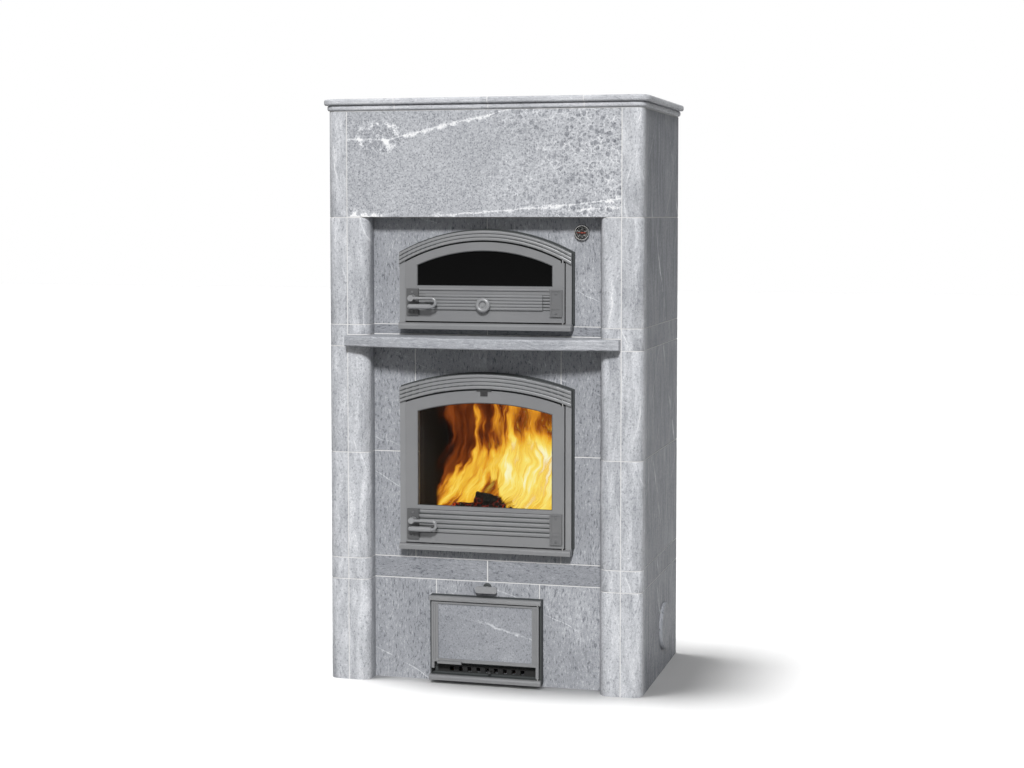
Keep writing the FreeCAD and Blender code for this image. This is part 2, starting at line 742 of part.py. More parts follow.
fire_half = "(firebox_width / 2)"
core_half = f"({fire_half} + core_wall)"
lining_back = f"({core_front} + firebox_depth)"
core_end = f"({lining_back} + core_back)"
hearth_top = f"({fire_z} + hearth)"
oven_floor = oven["sill_top"]
throat = f"({oven_floor} - oven_slab)"
spring = f"({oven_floor} + oven_wall)"
vault_top = f"({spring} + vault_rise + vault_crown)"
roof_z = f"({cornice_z} - roof_slab)"
core_y = (core_front, core_end)
slot_y = (f"{lining_back} - smoke_slot_back - smoke_slot", f"{lining_back} - smoke_slot_back")
slot_x = middle("smoke_slot_width / 2")


def three_walls(inner, outer, z):
    """Left, right and back walls of one chamber of the core."""
    sides = [box(span, core_y, z) for span in both(inner, outer)]
    return group(*sides, box(middle(inner), (lining_back, core_end), z))


subpart("ash_chamber_walls", three_walls("ash_room / 2", core_half, ("base_slab", fire_z)))

grate_y = f"({core_front} + firebox_depth / 2)"
grate_hole = box(
    middle("grate_width / 2 - grate_ledge"),
    (f"{grate_y} - grate_depth / 2 + grate_ledge", f"{grate_y} + grate_depth / 2 - grate_ledge"),
    (f"{fire_z} - joint", f"{hearth_top} + joint"))
grate_seat = box(
    middle("grate_width / 2 + joint_inset"),
    (f"{grate_y} - grate_depth / 2 - joint_inset", f"{grate_y} + grate_depth / 2 + joint_inset"),
    (f"{hearth_top} - grate_thickness", f"{hearth_top} + joint"))
hearth_slab = box(middle(core_half), core_y, (fire_z, hearth_top))
subpart("firebox_floor", cut(hearth_slab, grate_hole, grate_seat))

grate_blank = box(
    middle("grate_width / 2"),
    (f"{grate_y} - grate_depth / 2", f"{grate_y} + grate_depth / 2"),
    (f"{hearth_top} - grate_thickness", hearth_top))
grate_slots = []
for number in range(GRATE_SLOTS):
    centre = f"({number - (GRATE_SLOTS - 1) / 2} * (grate_slot + grate_bar))"
    grate_slots.append(box(
        (f"{centre} - grate_slot / 2", f"{centre} + grate_slot / 2"),
        (f"{grate_y} - grate_depth / 2 + grate_ledge + grate_bar / 2",
         f"{grate_y} + grate_depth / 2 - grate_ledge - grate_bar / 2"),
        (fire_z, f"{hearth_top} + joint")))
subpart("fire_grate", cut(grate_blank, group(*grate_slots)))

subpart("firebox_lining", three_walls(fire_half, core_half, (hearth_top, throat)))

oven_slab_blank = box(middle(core_half), core_y, (throat, oven_floor))
floor_slot = box(slot_x, slot_y, (f"{throat} - joint", f"{oven_floor} + joint"))
subpart("oven_floor", cut(oven_slab_blank, floor_slot))

subpart("oven_walls", three_walls(fire_half, core_half, (oven_floor, spring)))

vault_radius = f"(({fire_half}^2 + vault_rise^2) / (2 * vault_rise))"
vault_blank = box(middle(core_half), core_y, (spring, vault_top))
vault_tunnel = common(
    rod("y", ("0", f"{spring} + vault_rise - {vault_radius}"),
        (core_front, lining_back), vault_radius),
    box(middle(fire_half), core_y, (f"{spring} - joint", vault_top)))
vault_slot = box(slot_x, slot_y, (spring, f"{vault_top} + joint"))
subpart("oven_vault", cut(vault_blank, vault_tunnel, vault_slot))

subpart("upper_core_walls", group(
    *[box(span, core_y, (vault_top, roof_z)) for span in both(fire_half, core_half)]))
subpart("roof_slab", box(middle(side_in), (recess, back_in), (roof_z, cornice_z)))

# Ash pan, soot plugs and flue collar

pan_half = f"({ash_open} - ash_pan_gap)"
pan_y = (f"{core_front} + ash_pan_gap", f"{core_front} + ash_pan_gap + ash_pan_length")
pan_top = "(base_slab + ash_pan_height)"
pan_inner = box(
    middle(f"{pan_half} - ash_pan_sheet"),
    (f"{pan_y[0]} + ash_pan_sheet", f"{pan_y[1]} - ash_pan_sheet"),
    ("base_slab + ash_pan_sheet", f"{pan_top} + joint"))
pan_pull = box(
    middle("ash_pan_height / 2"),
    (f"{pan_y[0]} - ash_pan_gap / 2", pan_y[0]),
    (f"{pan_top} - ash_pan_sheet * 3", f"{pan_top} - ash_pan_sheet * 2"))
subpart("ash_pan", fuse(
    cut(box(middle(pan_half), pan_y, ("base_slab", pan_top)), pan_inner), pan_pull))

plug_face = f"({half} + slack)"
plug_bevel_x = f"({plug_face} + plug_head - plug_bevel)"
right_plug = fuse(
    rod("x", plug_axis, (f"{plug_face} - plug_length", plug_face), "plug_neck"),
    rod("x", plug_axis, (plug_face, plug_bevel_x), "plug_radius"),
    rod("x", plug_axis, (plug_bevel_x, f"{plug_bevel_x} + plug_bevel"),
        "plug_radius", "plug_radius - plug_bevel"))
subpart("right_soot_plug", right_plug)
subpart("left_soot_plug", mirrored(right_plug))

flue_end = f"({back} + flue_lip)"
flue_tube = rod("y", flue_axis, (back_in, flue_end), flue_outer)
flue_ring = rod("y", flue_axis, (back, f"{back} + flue_sheet"), f"{flue_outer} + flue_flange")
flue_bore = rod("y", flue_axis, (f"{back_in} - joint", f"{flue_end} + joint"), "flue_radius")
subpart("flue_collar", cut(fuse(flue_tube, flue_ring), flue_bore))


# Arched doors

leaf_half = f"({door_half} - jamb_width - leaf_gap)"
window_half = f"({leaf_half} - leaf_stile)"
jamb_half = f"({door_half} - jamb_width)"
flange_front = f"({recess} - flange_depth)"
leaf_back = f"({frame_front} + leaf_depth)"
plate_back = f"({frame_front} + leaf_plate)"
pin_x = f"({leaf_half} - pin_edge)"
pin_y = f"({frame_front} + pin_front)"
spindle_x = f"(spindle_edge - {leaf_half})"
cover_front = f"({frame_front} - plate_thickness)"


def arch_outline(half_width, foot, centre, radius):
    """An upright outline under an arch whose centre lies on the door's centre line."""
    shoulder = f"{centre} + sqrt({radius}^2 - {half_width}^2)"
    return [
        (f"-{half_width}", foot),
        (half_width, foot),
        (half_width, shoulder, radius),
        (f"-{half_width}", shoulder),
    ]


def scallops(front_face, foot, pitch, depth, count):
    """A row of convex ribs seen from the side, from the top down, as corners with arcs."""
    bulge = f"((({pitch} / 2)^2 + {depth}^2) / (2 * {depth}))"
    valley = f"({front_face} + {depth})"
    return [(valley, f"{foot} + {number} * {pitch}", bulge) for number in range(count, 0, -1)]


def door_frame(key, level, flutes):
    """The cast frame: back flange, jambs and the fluted arched header."""
    outer = arch_outline(door_half, level["sill_top"], level["centre"], level["radius"])
    flange_half = f"({jamb_half} - flange_lap)"
    flange_foot = f"({level['leaf']} + flange_lap)"
    flange_hole = arch_outline(
        flange_half, flange_foot, level["centre"], f"({level['inner']} - flange_lap)")
    jamb_hole = arch_outline(jamb_half, level["sill_top"], level["centre"], level["inner"])
    rim = arch_outline(f"({door_half} + flange_rim)", level["sill_top"], level["centre"],
                       f"({level['radius']} + flange_rim)")
    ring = plate(recess, "flange_depth", rim, flange_hole)
    jambs = plate(flange_front, "frame_proud - flange_depth - jamb_recess", outer)
    leaf_room = plate(flange_front, "frame_proud", jamb_hole)
    crown = f"({level['centre']} + {level['radius']})"
    header_foot = f"({crown} - {key}_header)"
    valley = f"({frame_front} + flute_depth)"
    section = [(valley, header_foot), (recess, header_foot), (recess, crown)]
    section += scallops(frame_front, header_foot, f"({key}_header / {flutes})", "flute_depth", flutes)
    header = new_body()
    sketch = sketch_on(header, "YZ_Plane", "0", section)
    axis = Part.LineSegment(
        FreeCAD.Vector(value(recess), value(level["centre"]), 0),
        FreeCAD.Vector(value(frame_front), value(level["centre"]), 0))
    line = sketch.addGeometry(axis, True)
    sketch.addConstraint(Sketcher.Constraint("Horizontal", line))
    ends = (("DistanceX", 1, recess), ("DistanceX", 2, frame_front), ("DistanceY", 1, level["centre"]))
    for kind, end, text in ends:
        index = sketch.addConstraint(Sketcher.Constraint(kind, -1, 1, line, end, value(text)))
        bind(sketch, f"Constraints[{index}]", text)
    turned = header.newObject("PartDesign::Revolution", "header")
    turned.Profile = sketch
    turned.ReferenceAxis = (sketch, ["Axis0"])
    turned.Angle = 120
    turned.Midplane = True
    doc.recompute()
    width_limit = box(middle(door_half), (frame_front, recess), (level["leaf"], crown))
    header_part = common(header, width_limit)
    seat = rod("z", (pin_x, pin_y), (level["leaf"], pin_top(level)), "pin_radius")
    casting = fuse(ring, cut(jambs, leaf_room), header_part)
    subpart(f"{key}_door_frame", cut(casting, seat))


def pin_shoulder(level, gap):
    """Height of the leaf's arch, less a gap, over the hinge axis."""
    return f"({level['centre']} + sqrt(({level['inner']} - {gap})^2 - {pin_x}^2))"


def pin_top(level):
    return f"({pin_shoulder(level, '0')} + pin_seat)"


def hinge_pins(level):
    lower_z = (f"{level['sill_top']} - pin_seat", f"{level['leaf']} + pin_depth")
    upper_z = (f"{pin_shoulder(level, 'leaf_play')} - pin_depth", pin_top(level))
    return [rod("z", (pin_x, pin_y), span, "pin_radius") for span in (lower_z, upper_z)]


def pin_bores(level):
    """Running bores in the leaf, a little deeper than the pins, and room to turn under the arch."""
    bore = "pin_radius + running_clearance"
    lower_z = (f"{level['leaf']} - joint", f"{level['leaf']} + pin_depth + slack")
    shoulder = pin_shoulder(level, "leaf_play")
    upper_z = (f"{shoulder} - pin_depth - slack", f"{shoulder} + joint")
    bores = [rod("z", (pin_x, pin_y), span, bore) for span in (lower_z, upper_z)]
    edge = f"({level['centre']} + sqrt(({level['inner']} - leaf_play)^2 - ({pin_x} + pin_relief)^2))"
    relief = rod("z", (pin_x, pin_y), (edge, f"{shoulder} + pin_relief"), "pin_relief")
    return [*bores, relief]


def door_sill(key, level):
    """The sill moulding under the leaf, with a rounded nose."""
    nose = f"({frame_front} - sill_proud)"
    bend = f"({key}_sill / 2)"
    sill = bar(f"-{door_half}", "door_width", [
        (f"{nose} + {bend}", level["sill_top"], bend),
        (nose, f"{level['sill_top']} - {bend}"),
        (nose, level["foot"]),
        (recess, level["foot"]),
        (recess, level["sill_top"]),
    ])
    seat = rod("z", (pin_x, pin_y), (f"{level['sill_top']} - pin_seat", level["leaf"]), "pin_radius")
    subpart(f"{key}_door_sill", cut(sill, seat))


def leaf_outline(level, inset):
    """The leaf's outline, or one set in by the same distance all round."""
    return arch_outline(
        f"({leaf_half} - {inset})", f"({level['leaf']} + {inset})",
        level["centre"], f"({level['inner']} - leaf_play - {inset})")


def window_outline(key, level, lap):
    radius = f"(({window_half}^2 + {key}_window_rise^2) / (2 * {key}_window_rise))"
    crown = f"({level['window']} + {key}_window + {key}_window_rise)"
    return arch_outline(
        f"({window_half} + {lap})", f"({level['window']} - {lap})",
        f"({crown} - {radius})", f"({radius} + {lap})")


def rib_field(body, key, level):
    """Convex ribs sawn into the leaf's bottom rail."""
    foot = f"({level['leaf']} + {key}_rib_lift)"
    crest = f"({frame_front} + rib_inset)"
    ribs = scallops(crest, foot, f"{key}_rib", "rib_depth", RIBS)
    outside = f"({frame_front} - rib_depth)"
    head = f"{foot} + {RIBS} * {key}_rib"
    section = [(outside, head), *ribs, (f"{crest} + rib_depth", foot), (outside, foot)]
    pocket(body, "YZ_Plane", window_half, f"2 * {window_half}", section)


def door_leaf(key, level):
    """A cast leaf: a front plate with a deep rim, a bevelled window and a ribbed bottom rail."""
    leaf = plate(leaf_back, "leaf_depth", leaf_outline(level, "0"), window_outline(key, level, "0"))
    pocket(leaf, "XZ_Plane", f"-({leaf_back})", "leaf_depth - leaf_plate",
           leaf_outline(level, "leaf_rim"), reverse=True)
    edge_y = value(frame_front) + value("joint_inset")
    edge_x = value(window_half) + value("joint_inset")
    edge_z = value(level["window"]) - value("joint_inset")
    bevel_edges(leaf, "window_bevel", lambda edge: edge.BoundBox.YMax < edge_y
                and edge.BoundBox.XMax < edge_x and edge.BoundBox.XMin > -edge_x
                and edge.BoundBox.ZMin > edge_z)
    rib_field(leaf, key, level)
    return leaf


def latch_cuts(level):
    """The spindle's bore and the slot for the tongue in the leaf's rim."""
    spindle_z = f"({level['leaf']} + spindle_lift)"
    bore = rod("y", (spindle_x, spindle_z),
               (f"{frame_front} - joint", f"{plate_back} + joint"),
               "spindle_radius + running_clearance")
    slot = box((f"-{leaf_half} - joint", f"leaf_rim + slack - {leaf_half}"),
               (plate_back, f"{plate_back} + tongue_thickness + slack * 2"),
               (f"{spindle_z} - tongue_room", f"{spindle_z} + tongue_room"))
    return [bore, slot]


def glass_clips(key, level):
    glass_edge = f"({window_half} + glass_lap)"
    glass_back = f"({plate_back} + glass_thickness)"
    clip_end = f"({glass_edge} + clip_reach)"
    top = f"({level['window']} + {key}_window)"
    clips = []
    for foot in (f"{level['window']}", f"{top} - clip_length"):
        z = (foot, f"{foot} + clip_length")
        outer = both(f"{glass_edge} + slack", clip_end)
        over = both(f"{glass_edge} - clip_reach", clip_end)
        for foot_x, cap_x in zip(outer, over):
            clips.append(fuse(
                box(foot_x, (plate_back, glass_back), z),
                box(cap_x, (glass_back, f"{glass_back} + clip_thickness"), z)))
    subpart(f"{key}_glass_clips", group(*clips))


def hinge_cover(key, level):
    """A cover with a bare sunk field over the hinge's corner of the leaf."""
    x = (f"({leaf_half} - plate_edge - plate_width)", f"({leaf_half} - plate_edge)")
    foot = f"({level['leaf']} + {key}_plate_lift)"
    z = (foot, f"({foot} + {key}_plate)")
    cover = plate(frame_front, "plate_thickness", rectangle(x, z))
    field_x = (f"{x[0]} + plate_field", f"{x[1]} - plate_field")
    for share in (0, 1):
        low = f"({foot} + plate_field + {share} * {key}_plate / 3)"
        high = f"({foot} - plate_field + {2 * share + 1} * {key}_plate / 3)"
        pocket(cover, "XZ_Plane", f"-({cover_front})", "plate_recess", rectangle(field_x, (low, high)))
    subpart(f"{key}_hinge_cover", cover)


def latch_plate(key, level):
    x = (f"plate_edge - {leaf_half}", f"plate_edge + plate_width - {leaf_half}")
    foot = f"({level['leaf']} + {key}_plate_lift)"
    blank = plate(frame_front, "plate_thickness", rectangle(x, (foot, f"{foot} + {key}_plate")))
    bore = rod("y", (spindle_x, f"{level['leaf']} + spindle_lift"),
               (f"{cover_front} - joint", f"{frame_front} + joint"),
               "spindle_radius + running_clearance")
    subpart(f"{key}_latch_plate", cut(blank, bore))


def door_handle(key, level):
    """A hairpin handle: a thin rod on the hub, a half-round bend and a thick grip below."""
    spindle_z = f"({level['leaf']} + spindle_lift)"
    grip_z = f"({spindle_z} - handle_spread)"
    loop_y = f"({frame_front} - handle_standoff)"
    start = f"({spindle_x} - hub_radius)"
    end = f"({start} + handle_length)"
    hub = rod("y", (spindle_x, spindle_z),
              (f"{loop_y} - handle_rod", f"{cover_front} - slack"), "hub_radius")
    thin = rod("x", (loop_y, spindle_z), (spindle_x, end), "handle_rod")
    grip_start = f"({start} + grip_taper)"
    grip_end = f"({end} - grip_taper)"
    grip = rod("x", (loop_y, grip_z), (grip_start, grip_end), "handle_grip")
    near_taper = rod("x", (loop_y, grip_z), (start, grip_start), "handle_rod", "handle_grip")
    far_taper = rod("x", (loop_y, grip_z), (grip_end, end), "handle_grip", "handle_rod")
    bend = doc.addObject("Part::Torus", "bend")
    bend.Angle3 = 180
    turn = FreeCAD.Rotation(FreeCAD.Vector(1, 0, 0), 90)
    quarter = FreeCAD.Rotation(FreeCAD.Vector(0, 0, 1), -90)
    bend.Placement = FreeCAD.Placement(FreeCAD.Vector(), turn.multiply(quarter))
    bind(bend, "Radius1", "handle_spread / 2")
    bind(bend, "Radius2", "handle_rod")
    for axis, place in zip("xyz", (end, loop_y, f"{spindle_z} - handle_spread / 2")):
        bind(bend, f".Placement.Base.{axis}", place)
    subpart(f"{key}_door_handle", fuse(hub, thin, grip, near_taper, far_taper, bend))
    tongue_front = f"({plate_back} + slack)"
    tongue_back = f"({tongue_front} + tongue_thickness)"
    shaft = rod("y", (spindle_x, spindle_z), (f"{cover_front} - slack", tongue_back), "spindle_radius")
    tongue = box((f"slack - {leaf_half}", spindle_x), (tongue_front, tongue_back),
                 (f"{spindle_z} - tongue_width / 2", f"{spindle_z} + tongue_width / 2"))
    subpart(f"{key}_latch_spindle", fuse(shaft, tongue))


def arched_door(key, level, flutes, added, removed):
    """One door: frame, sill, leaf with what is cast on and cut out, glass, seal and fittings."""
    door_frame(key, level, flutes)
    door_sill(key, level)
    leaf = fuse(door_leaf(key, level), *added) if added else door_leaf(key, level)
    subpart(f"{key}_door_leaf", cut(leaf, *pin_bores(level), *latch_cuts(level), *removed))
    subpart(f"{key}_door_glass", plate(
        f"{plate_back} + glass_thickness", "glass_thickness",
        window_outline(key, level, "glass_lap")))
    glass_clips(key, level)
    seal_back = f"({flange_front} - slack)"
    rope = plate(
        seal_back, f"{seal_back} - {leaf_back}",
        leaf_outline(level, "seal_edge"), leaf_outline(level, "(seal_edge + seal_width)"))
    subpart(f"{key}_door_seal", cut(rope, *removed) if removed else rope)
    hinge_cover(key, level)
    latch_plate(key, level)
    door_handle(key, level)


# A spring catch hangs over the firebox leaf's edge, its flange in the gap under the header

arched_door("fire", fire, FIRE_FLUTES, [], [])
leaf_crown = f"({fire['centre']} + {fire['inner']} - leaf_play)"
catch_front = f"({frame_front} - catch_sheet)"
catch_top = f"({leaf_crown} + catch_sheet)"
catch_tab = box(
    middle("catch_width / 2"), (catch_front, frame_front), (f"{catch_top} - catch_height", catch_top))
catch_flange = cut(
    box(middle("catch_flange / 2"), (catch_front, f"{frame_front} + catch_reach"),
        (f"{leaf_crown} - catch_sheet", catch_top)),
    plate(leaf_back, "leaf_depth", leaf_outline(fire, "0")))
catch_pin = rod(
    "y", ("0", f"{catch_top} - catch_height / 2"), (f"{catch_front} - catch_sheet", catch_front),
    "catch_pin")
subpart("fire_top_catch", fuse(catch_tab, catch_flange, catch_pin))

# The oven leaf has a bead over its air bar and slots for the bar's pins

knob_z = f"({oven['leaf']} + knob_lift)"
air_pin_places = ["-air_guide", "0", "air_guide"]
bead_foot = f"({oven['leaf']} + bead_lift)"
bead_back = f"({frame_front} + joint_inset)"
bead_bulge = "(((bead / 2)^2 + bead_proud^2) / (2 * bead_proud))"
bead_half = f"({leaf_half} - plate_edge - plate_width - leaf_gap)"
bead = bar(f"-{bead_half}", f"{bead_half} * 2", [
    (frame_front, f"{bead_foot} + bead", bead_bulge),
    (frame_front, bead_foot),
    (bead_back, bead_foot),
    (bead_back, f"{bead_foot} + bead"),
])
air_slots = []
slot_radius = "(air_pin + running_clearance)"
through_plate = (f"{frame_front} - joint", f"{plate_back} + joint")
for place in air_pin_places:
    air_slots.append(box(
        (f"{place} - air_travel", f"{place} + air_travel"), through_plate,
        (f"{knob_z} - {slot_radius}", f"{knob_z} + {slot_radius}")))
    for sign in "+-":
        air_slots.append(rod("y", (f"{place} {sign} air_travel", knob_z), through_plate, slot_radius))
arched_door("oven", oven, OVEN_FLUTES, [bead], air_slots)

# Oven air bar and its ring knob

bar_back = f"({frame_front} - slack)"
bar_front = f"({bar_back} - air_bar_thickness)"
bar_foot = f"({oven['leaf']} + oven_rib_lift)"
bar_head = f"({bar_foot} + {RIBS} * oven_rib)"
bar_valley = f"({bar_front} + rib_depth / 2)"
bar_section = [(bar_back, bar_foot), (bar_back, bar_head)]
bar_section += scallops(bar_front, bar_foot, "oven_rib", "(rib_depth / 2)", RIBS)
bar_section.append((bar_valley, bar_foot))
slide_bar = bar("-air_bar / 2", "air_bar", bar_section)
pins = []
for place in air_pin_places:
    pin_end = f"({plate_back} + slack + washer)"
    pins.append(rod("y", (place, knob_z), (f"{bar_back} - rib_depth / 2", pin_end), "air_pin"))
    pins.append(rod("y", (place, knob_z), (f"{plate_back} + slack", pin_end), "washer_radius"))
subpart("oven_air_bar", fuse(slide_bar, *pins))

ring_y = f"({bar_front} - knob_neck)"
ring = doc.addObject("Part::Torus", "ring")
ring.Placement = FreeCAD.Placement(FreeCAD.Vector(), TURN_TO_AXIS["y"])
bind(ring, "Radius1", "knob_radius")
bind(ring, "Radius2", "knob_tube")
for axis, place in zip("xyz", ("0", ring_y, knob_z)):
    bind(ring, f".Placement.Base.{axis}", place)
web = rod("y", ("0", knob_z), (ring_y, f"{ring_y} + knob_tube / 2"), "knob_radius")
boss = rod("y", ("0", knob_z), (f"{ring_y} - knob_tube / 2", ring_y), "knob_boss")
neck = rod("y", ("0", knob_z), (ring_y, bar_front), "knob_boss * 2", "knob_boss")
subpart("oven_air_knob", fuse(ring, web, boss, neck))

# Ash door: frame with an air register under the leaf

ash_sill_top = "(ash_lift + ash_sill)"
ash_z = (ash_sill_top, f"{ash_top} - ash_rail")
cheek_in = f"({ash_half} - ash_cheek)"
ash_flange_front = f"({recess} - ash_flange)"
ash_leaf_half = f"({cheek_in} - ash_gap)"
ash_leaf_front = f"({frame_front} + ash_leaf_recess)"
ash_leaf_back = f"({ash_leaf_front} + ash_leaf)"
leaf_foot = f"({ash_sill_top} + ash_draught)"
leaf_head = f"({ash_top} - ash_rail - ash_head_gap)"
slide_back = f"({ash_flange_front} - slack)"
slide_front = f"({slide_back} - slide_sheet)"
slide_foot = f"({ash_sill_top} + slack)"
slide_head = f"({slide_foot} + slide_height)"
register_head = f"({slide_head} + slack + slide_keeper)"

cheek_y = (f"{frame_front} + ash_cheek_recess", recess)
cheeks = [box(span, cheek_y, ash_z) for span in both(cheek_in, ash_half)]
ash_flange = box(middle(cheek_in), (ash_flange_front, recess), ash_z)
leaf_way = box(middle(ash_open), (f"{ash_flange_front} - joint", f"{recess} + joint"),
               (register_head, ash_open_top))
stops = [box(span, (f"{ash_leaf_back} + slack", ash_flange_front), (leaf_foot, leaf_head))
         for span in both(ash_open, f"{ash_open} + ash_stop")]
stops.append(box(middle(ash_open), (f"{ash_leaf_back} + slack", recess),
                 (f"{leaf_head} - ash_stop", ash_z[1])))
keeper_y = (f"{slide_front} - slack - slide_sheet", ash_flange_front)
keeper_lip_y = (keeper_y[0], f"{slide_front} - slack")
keepers = [box(middle(cheek_in), keeper_lip_y, (ash_sill_top, f"{slide_foot} + slide_keeper"))]
for span in both(ash_open, cheek_in):
    keepers.append(box(span, keeper_y, (f"{slide_head} + slack", register_head)))
    keepers.append(box(span, keeper_lip_y, (f"{slide_head} - slide_keeper", register_head)))
slide_slots = []
for number in range(SLIDE_SLOTS):
    centre = f"({number - (SLIDE_SLOTS - 1) / 2} * (slide_slot + slide_slot_bar))"
    slide_slots.append(box(
        (f"{centre} - slide_slot / 2", f"{centre} + slide_slot / 2"),
        (f"{slide_front} - slack", f"{recess} + joint"),
        (f"{slide_foot} + slide_slot_edge", f"{slide_head} - slide_slot_edge")))
rail_nose = f"({frame_front} - sill_proud / 4)"
top_rail = bar(f"-{ash_half}", "ash_width", [
    (recess, f"{ash_top} - ash_rail"),
    (recess, ash_top),
    (f"{frame_front} + ash_rail / 2", ash_top, "(ash_rail / 2)"),
    (frame_front, f"{ash_top} - ash_rail / 2"),
    (rail_nose, f"{ash_top} - ash_rail / 2 - joint"),
    (rail_nose, f"{ash_top} - ash_rail"),
])
sill_nose = f"({frame_front} - sill_proud / 2)"
ash_sill_bar = bar(f"-{ash_half}", "ash_width", [
    (f"{sill_nose} + ash_sill / 2", ash_sill_top, "(ash_sill / 2)"),
    (sill_nose, f"{ash_sill_top} - ash_sill / 2"),
    (sill_nose, "ash_lift"),
    (recess, "ash_lift"),
    (recess, ash_sill_top),
])
ash_pin_at = (f"({ash_leaf_half} - ash_pin_edge)", f"({ash_leaf_front} + ash_pin_front)")
post_foot = f"({leaf_foot} - hinge_post)"
low_pin = (f"{ash_sill_top} - ash_sill / 2", f"{post_foot} + hinge_post / 2")
high_pin = (f"{leaf_head} - hinge_post / 2", f"{ash_top} - ash_rail / 3")
ash_pins = [rod("z", ash_pin_at, span, "ash_pin") for span in (low_pin, high_pin)]
register = fuse(cut(fuse(ash_flange, *keepers), leaf_way, *slide_slots), *stops)
subpart("ash_door_frame", cut(fuse(*cheeks, register, top_rail, ash_sill_bar), *ash_pins))
subpart("hinge_pins", group(*hinge_pins(fire), *hinge_pins(oven), *ash_pins))

# Ash door: leaf with a soapstone panel let in from behind, and the air slide

panel_half = f"({ash_leaf_half} - ash_stile)"
panel_z = (f"({leaf_foot} + ash_foot_rail)", f"({leaf_head} - ash_head_rail)")


def panel_outline(lap):
    return rectangle(middle(f"({panel_half} + {lap})"),
                     (f"{panel_z[0]} - ({lap})", f"{panel_z[1]} + ({lap})"))


ash_leaf = plate(ash_leaf_back, "ash_leaf",
                 rectangle(middle(ash_leaf_half), (leaf_foot, leaf_head)), panel_outline("0"))
pocket(ash_leaf, "XZ_Plane", f"-({ash_leaf_back})", "ash_leaf - ash_lip",
       panel_outline("ash_rebate + ash_panel_gap"), reverse=True)
for share in (1, 2):
    centre = f"({panel_half} + {share} * ash_stile / 3)"
    groove_z = (f"{leaf_foot} + ash_head_rail", f"{leaf_head} - ash_head_rail")
    for span in both(f"{centre} - stile_groove / 2", f"{centre} + stile_groove / 2"):
        pocket(ash_leaf, "XZ_Plane", f"-({ash_leaf_front})", "groove_depth", rectangle(span, groove_z))
post_y = (ash_leaf_front, f"{ash_leaf_front} + post_depth")
post_right, post_left = both(f"{ash_leaf_half} - post_width", ash_leaf_half)
posts = [box(post_right, post_y, (post_foot, leaf_foot)),
         box(post_left, post_y, (f"{leaf_foot} - latch_post", leaf_foot))]
finger_lip = box((f"-{panel_half}", f"lip_length - {panel_half}"),
                 (f"{ash_leaf_front} - lip_proud", ash_leaf_front),
                 (f"{leaf_foot} - lip_height / 2", f"{leaf_foot} + lip_height / 2"))
ash_bore = "ash_pin + running_clearance"
ash_bores = [rod("z", ash_pin_at, (f"{post_foot} - joint", f"{low_pin[1]} + slack"), ash_bore),
             rod("z", ash_pin_at, (f"{high_pin[0]} - slack", f"{leaf_head} + joint"), ash_bore)]
subpart("ash_door_leaf", cut(fuse(ash_leaf, *posts, finger_lip), *ash_bores))
subpart("ash_door_panel", plate(
    f"{ash_leaf_front} + ash_lip + ash_panel", "ash_panel", panel_outline("ash_rebate")))

slide_sheet = box(middle("slide_plate / 2"), (slide_front, slide_back), (slide_foot, slide_head))
knob_place = ("(slide_slot + slide_slot_bar) / 2", f"({slide_foot} + slide_height / 2)")
knob_tip = f"({slide_front} - slide_knob_reach)"
slide_stem = rod("y", knob_place, (knob_tip, slide_front), "slide_knob")
slide_head_disc = rod("y", knob_place, (knob_tip, f"{knob_tip} + slide_keeper"), "slide_knob * 2")
subpart("ash_air_slide", fuse(cut(slide_sheet, *slide_slots), slide_stem, slide_head_disc))

# Damper pull


def rounded(x, z, radius):
    """A rectangle with rounded corners."""
    return [
        (f"{x[0]} + {radius}", z[0]), (f"{x[1]} - {radius}", z[0], radius),
        (x[1], f"{z[0]} + {radius}"), (x[1], f"{z[1]} - {radius}", radius),
        (f"{x[1]} - {radius}", z[1]), (f"{x[0]} + {radius}", z[1], radius),
        (x[0], f"{z[1]} - {radius}"), (x[0], f"{z[0]} + {radius}", radius),
    ]


grip_back = f"({recess} - grip_standoff)"
grip_middle = f"({damper_z} - grip_drop)"
grip_z = (f"({grip_middle} - grip_height / 2)", f"({grip_middle} + grip_height / 2)")
damper_grip = plate(grip_back, "grip_thickness",
                    rounded(middle("(grip_width / 2)"), grip_z, "(grip_height / 3)"))
disc_y = f"({core_front} + damper_inside)"
subpart("damper_rod", fuse(
    damper_grip,
    rod("y", ("0", damper_z), (grip_back, disc_y), "damper_rod"),
    rod("y", ("0", damper_z), (disc_y, f"{disc_y} + damper_plate"), "damper_disc")))
rosette_back = rod("y", ("0", damper_z), (f"{recess} - rosette / 2", recess), "rosette_radius")
rosette_front = rod("y", ("0", damper_z), (f"{recess} - rosette", f"{recess} - rosette / 2"),
                    "rosette_radius * 2 / 3", "rosette_radius")
subpart("damper_rosette", cut(fuse(rosette_back, rosette_front), damper_hole))

# Thermometer

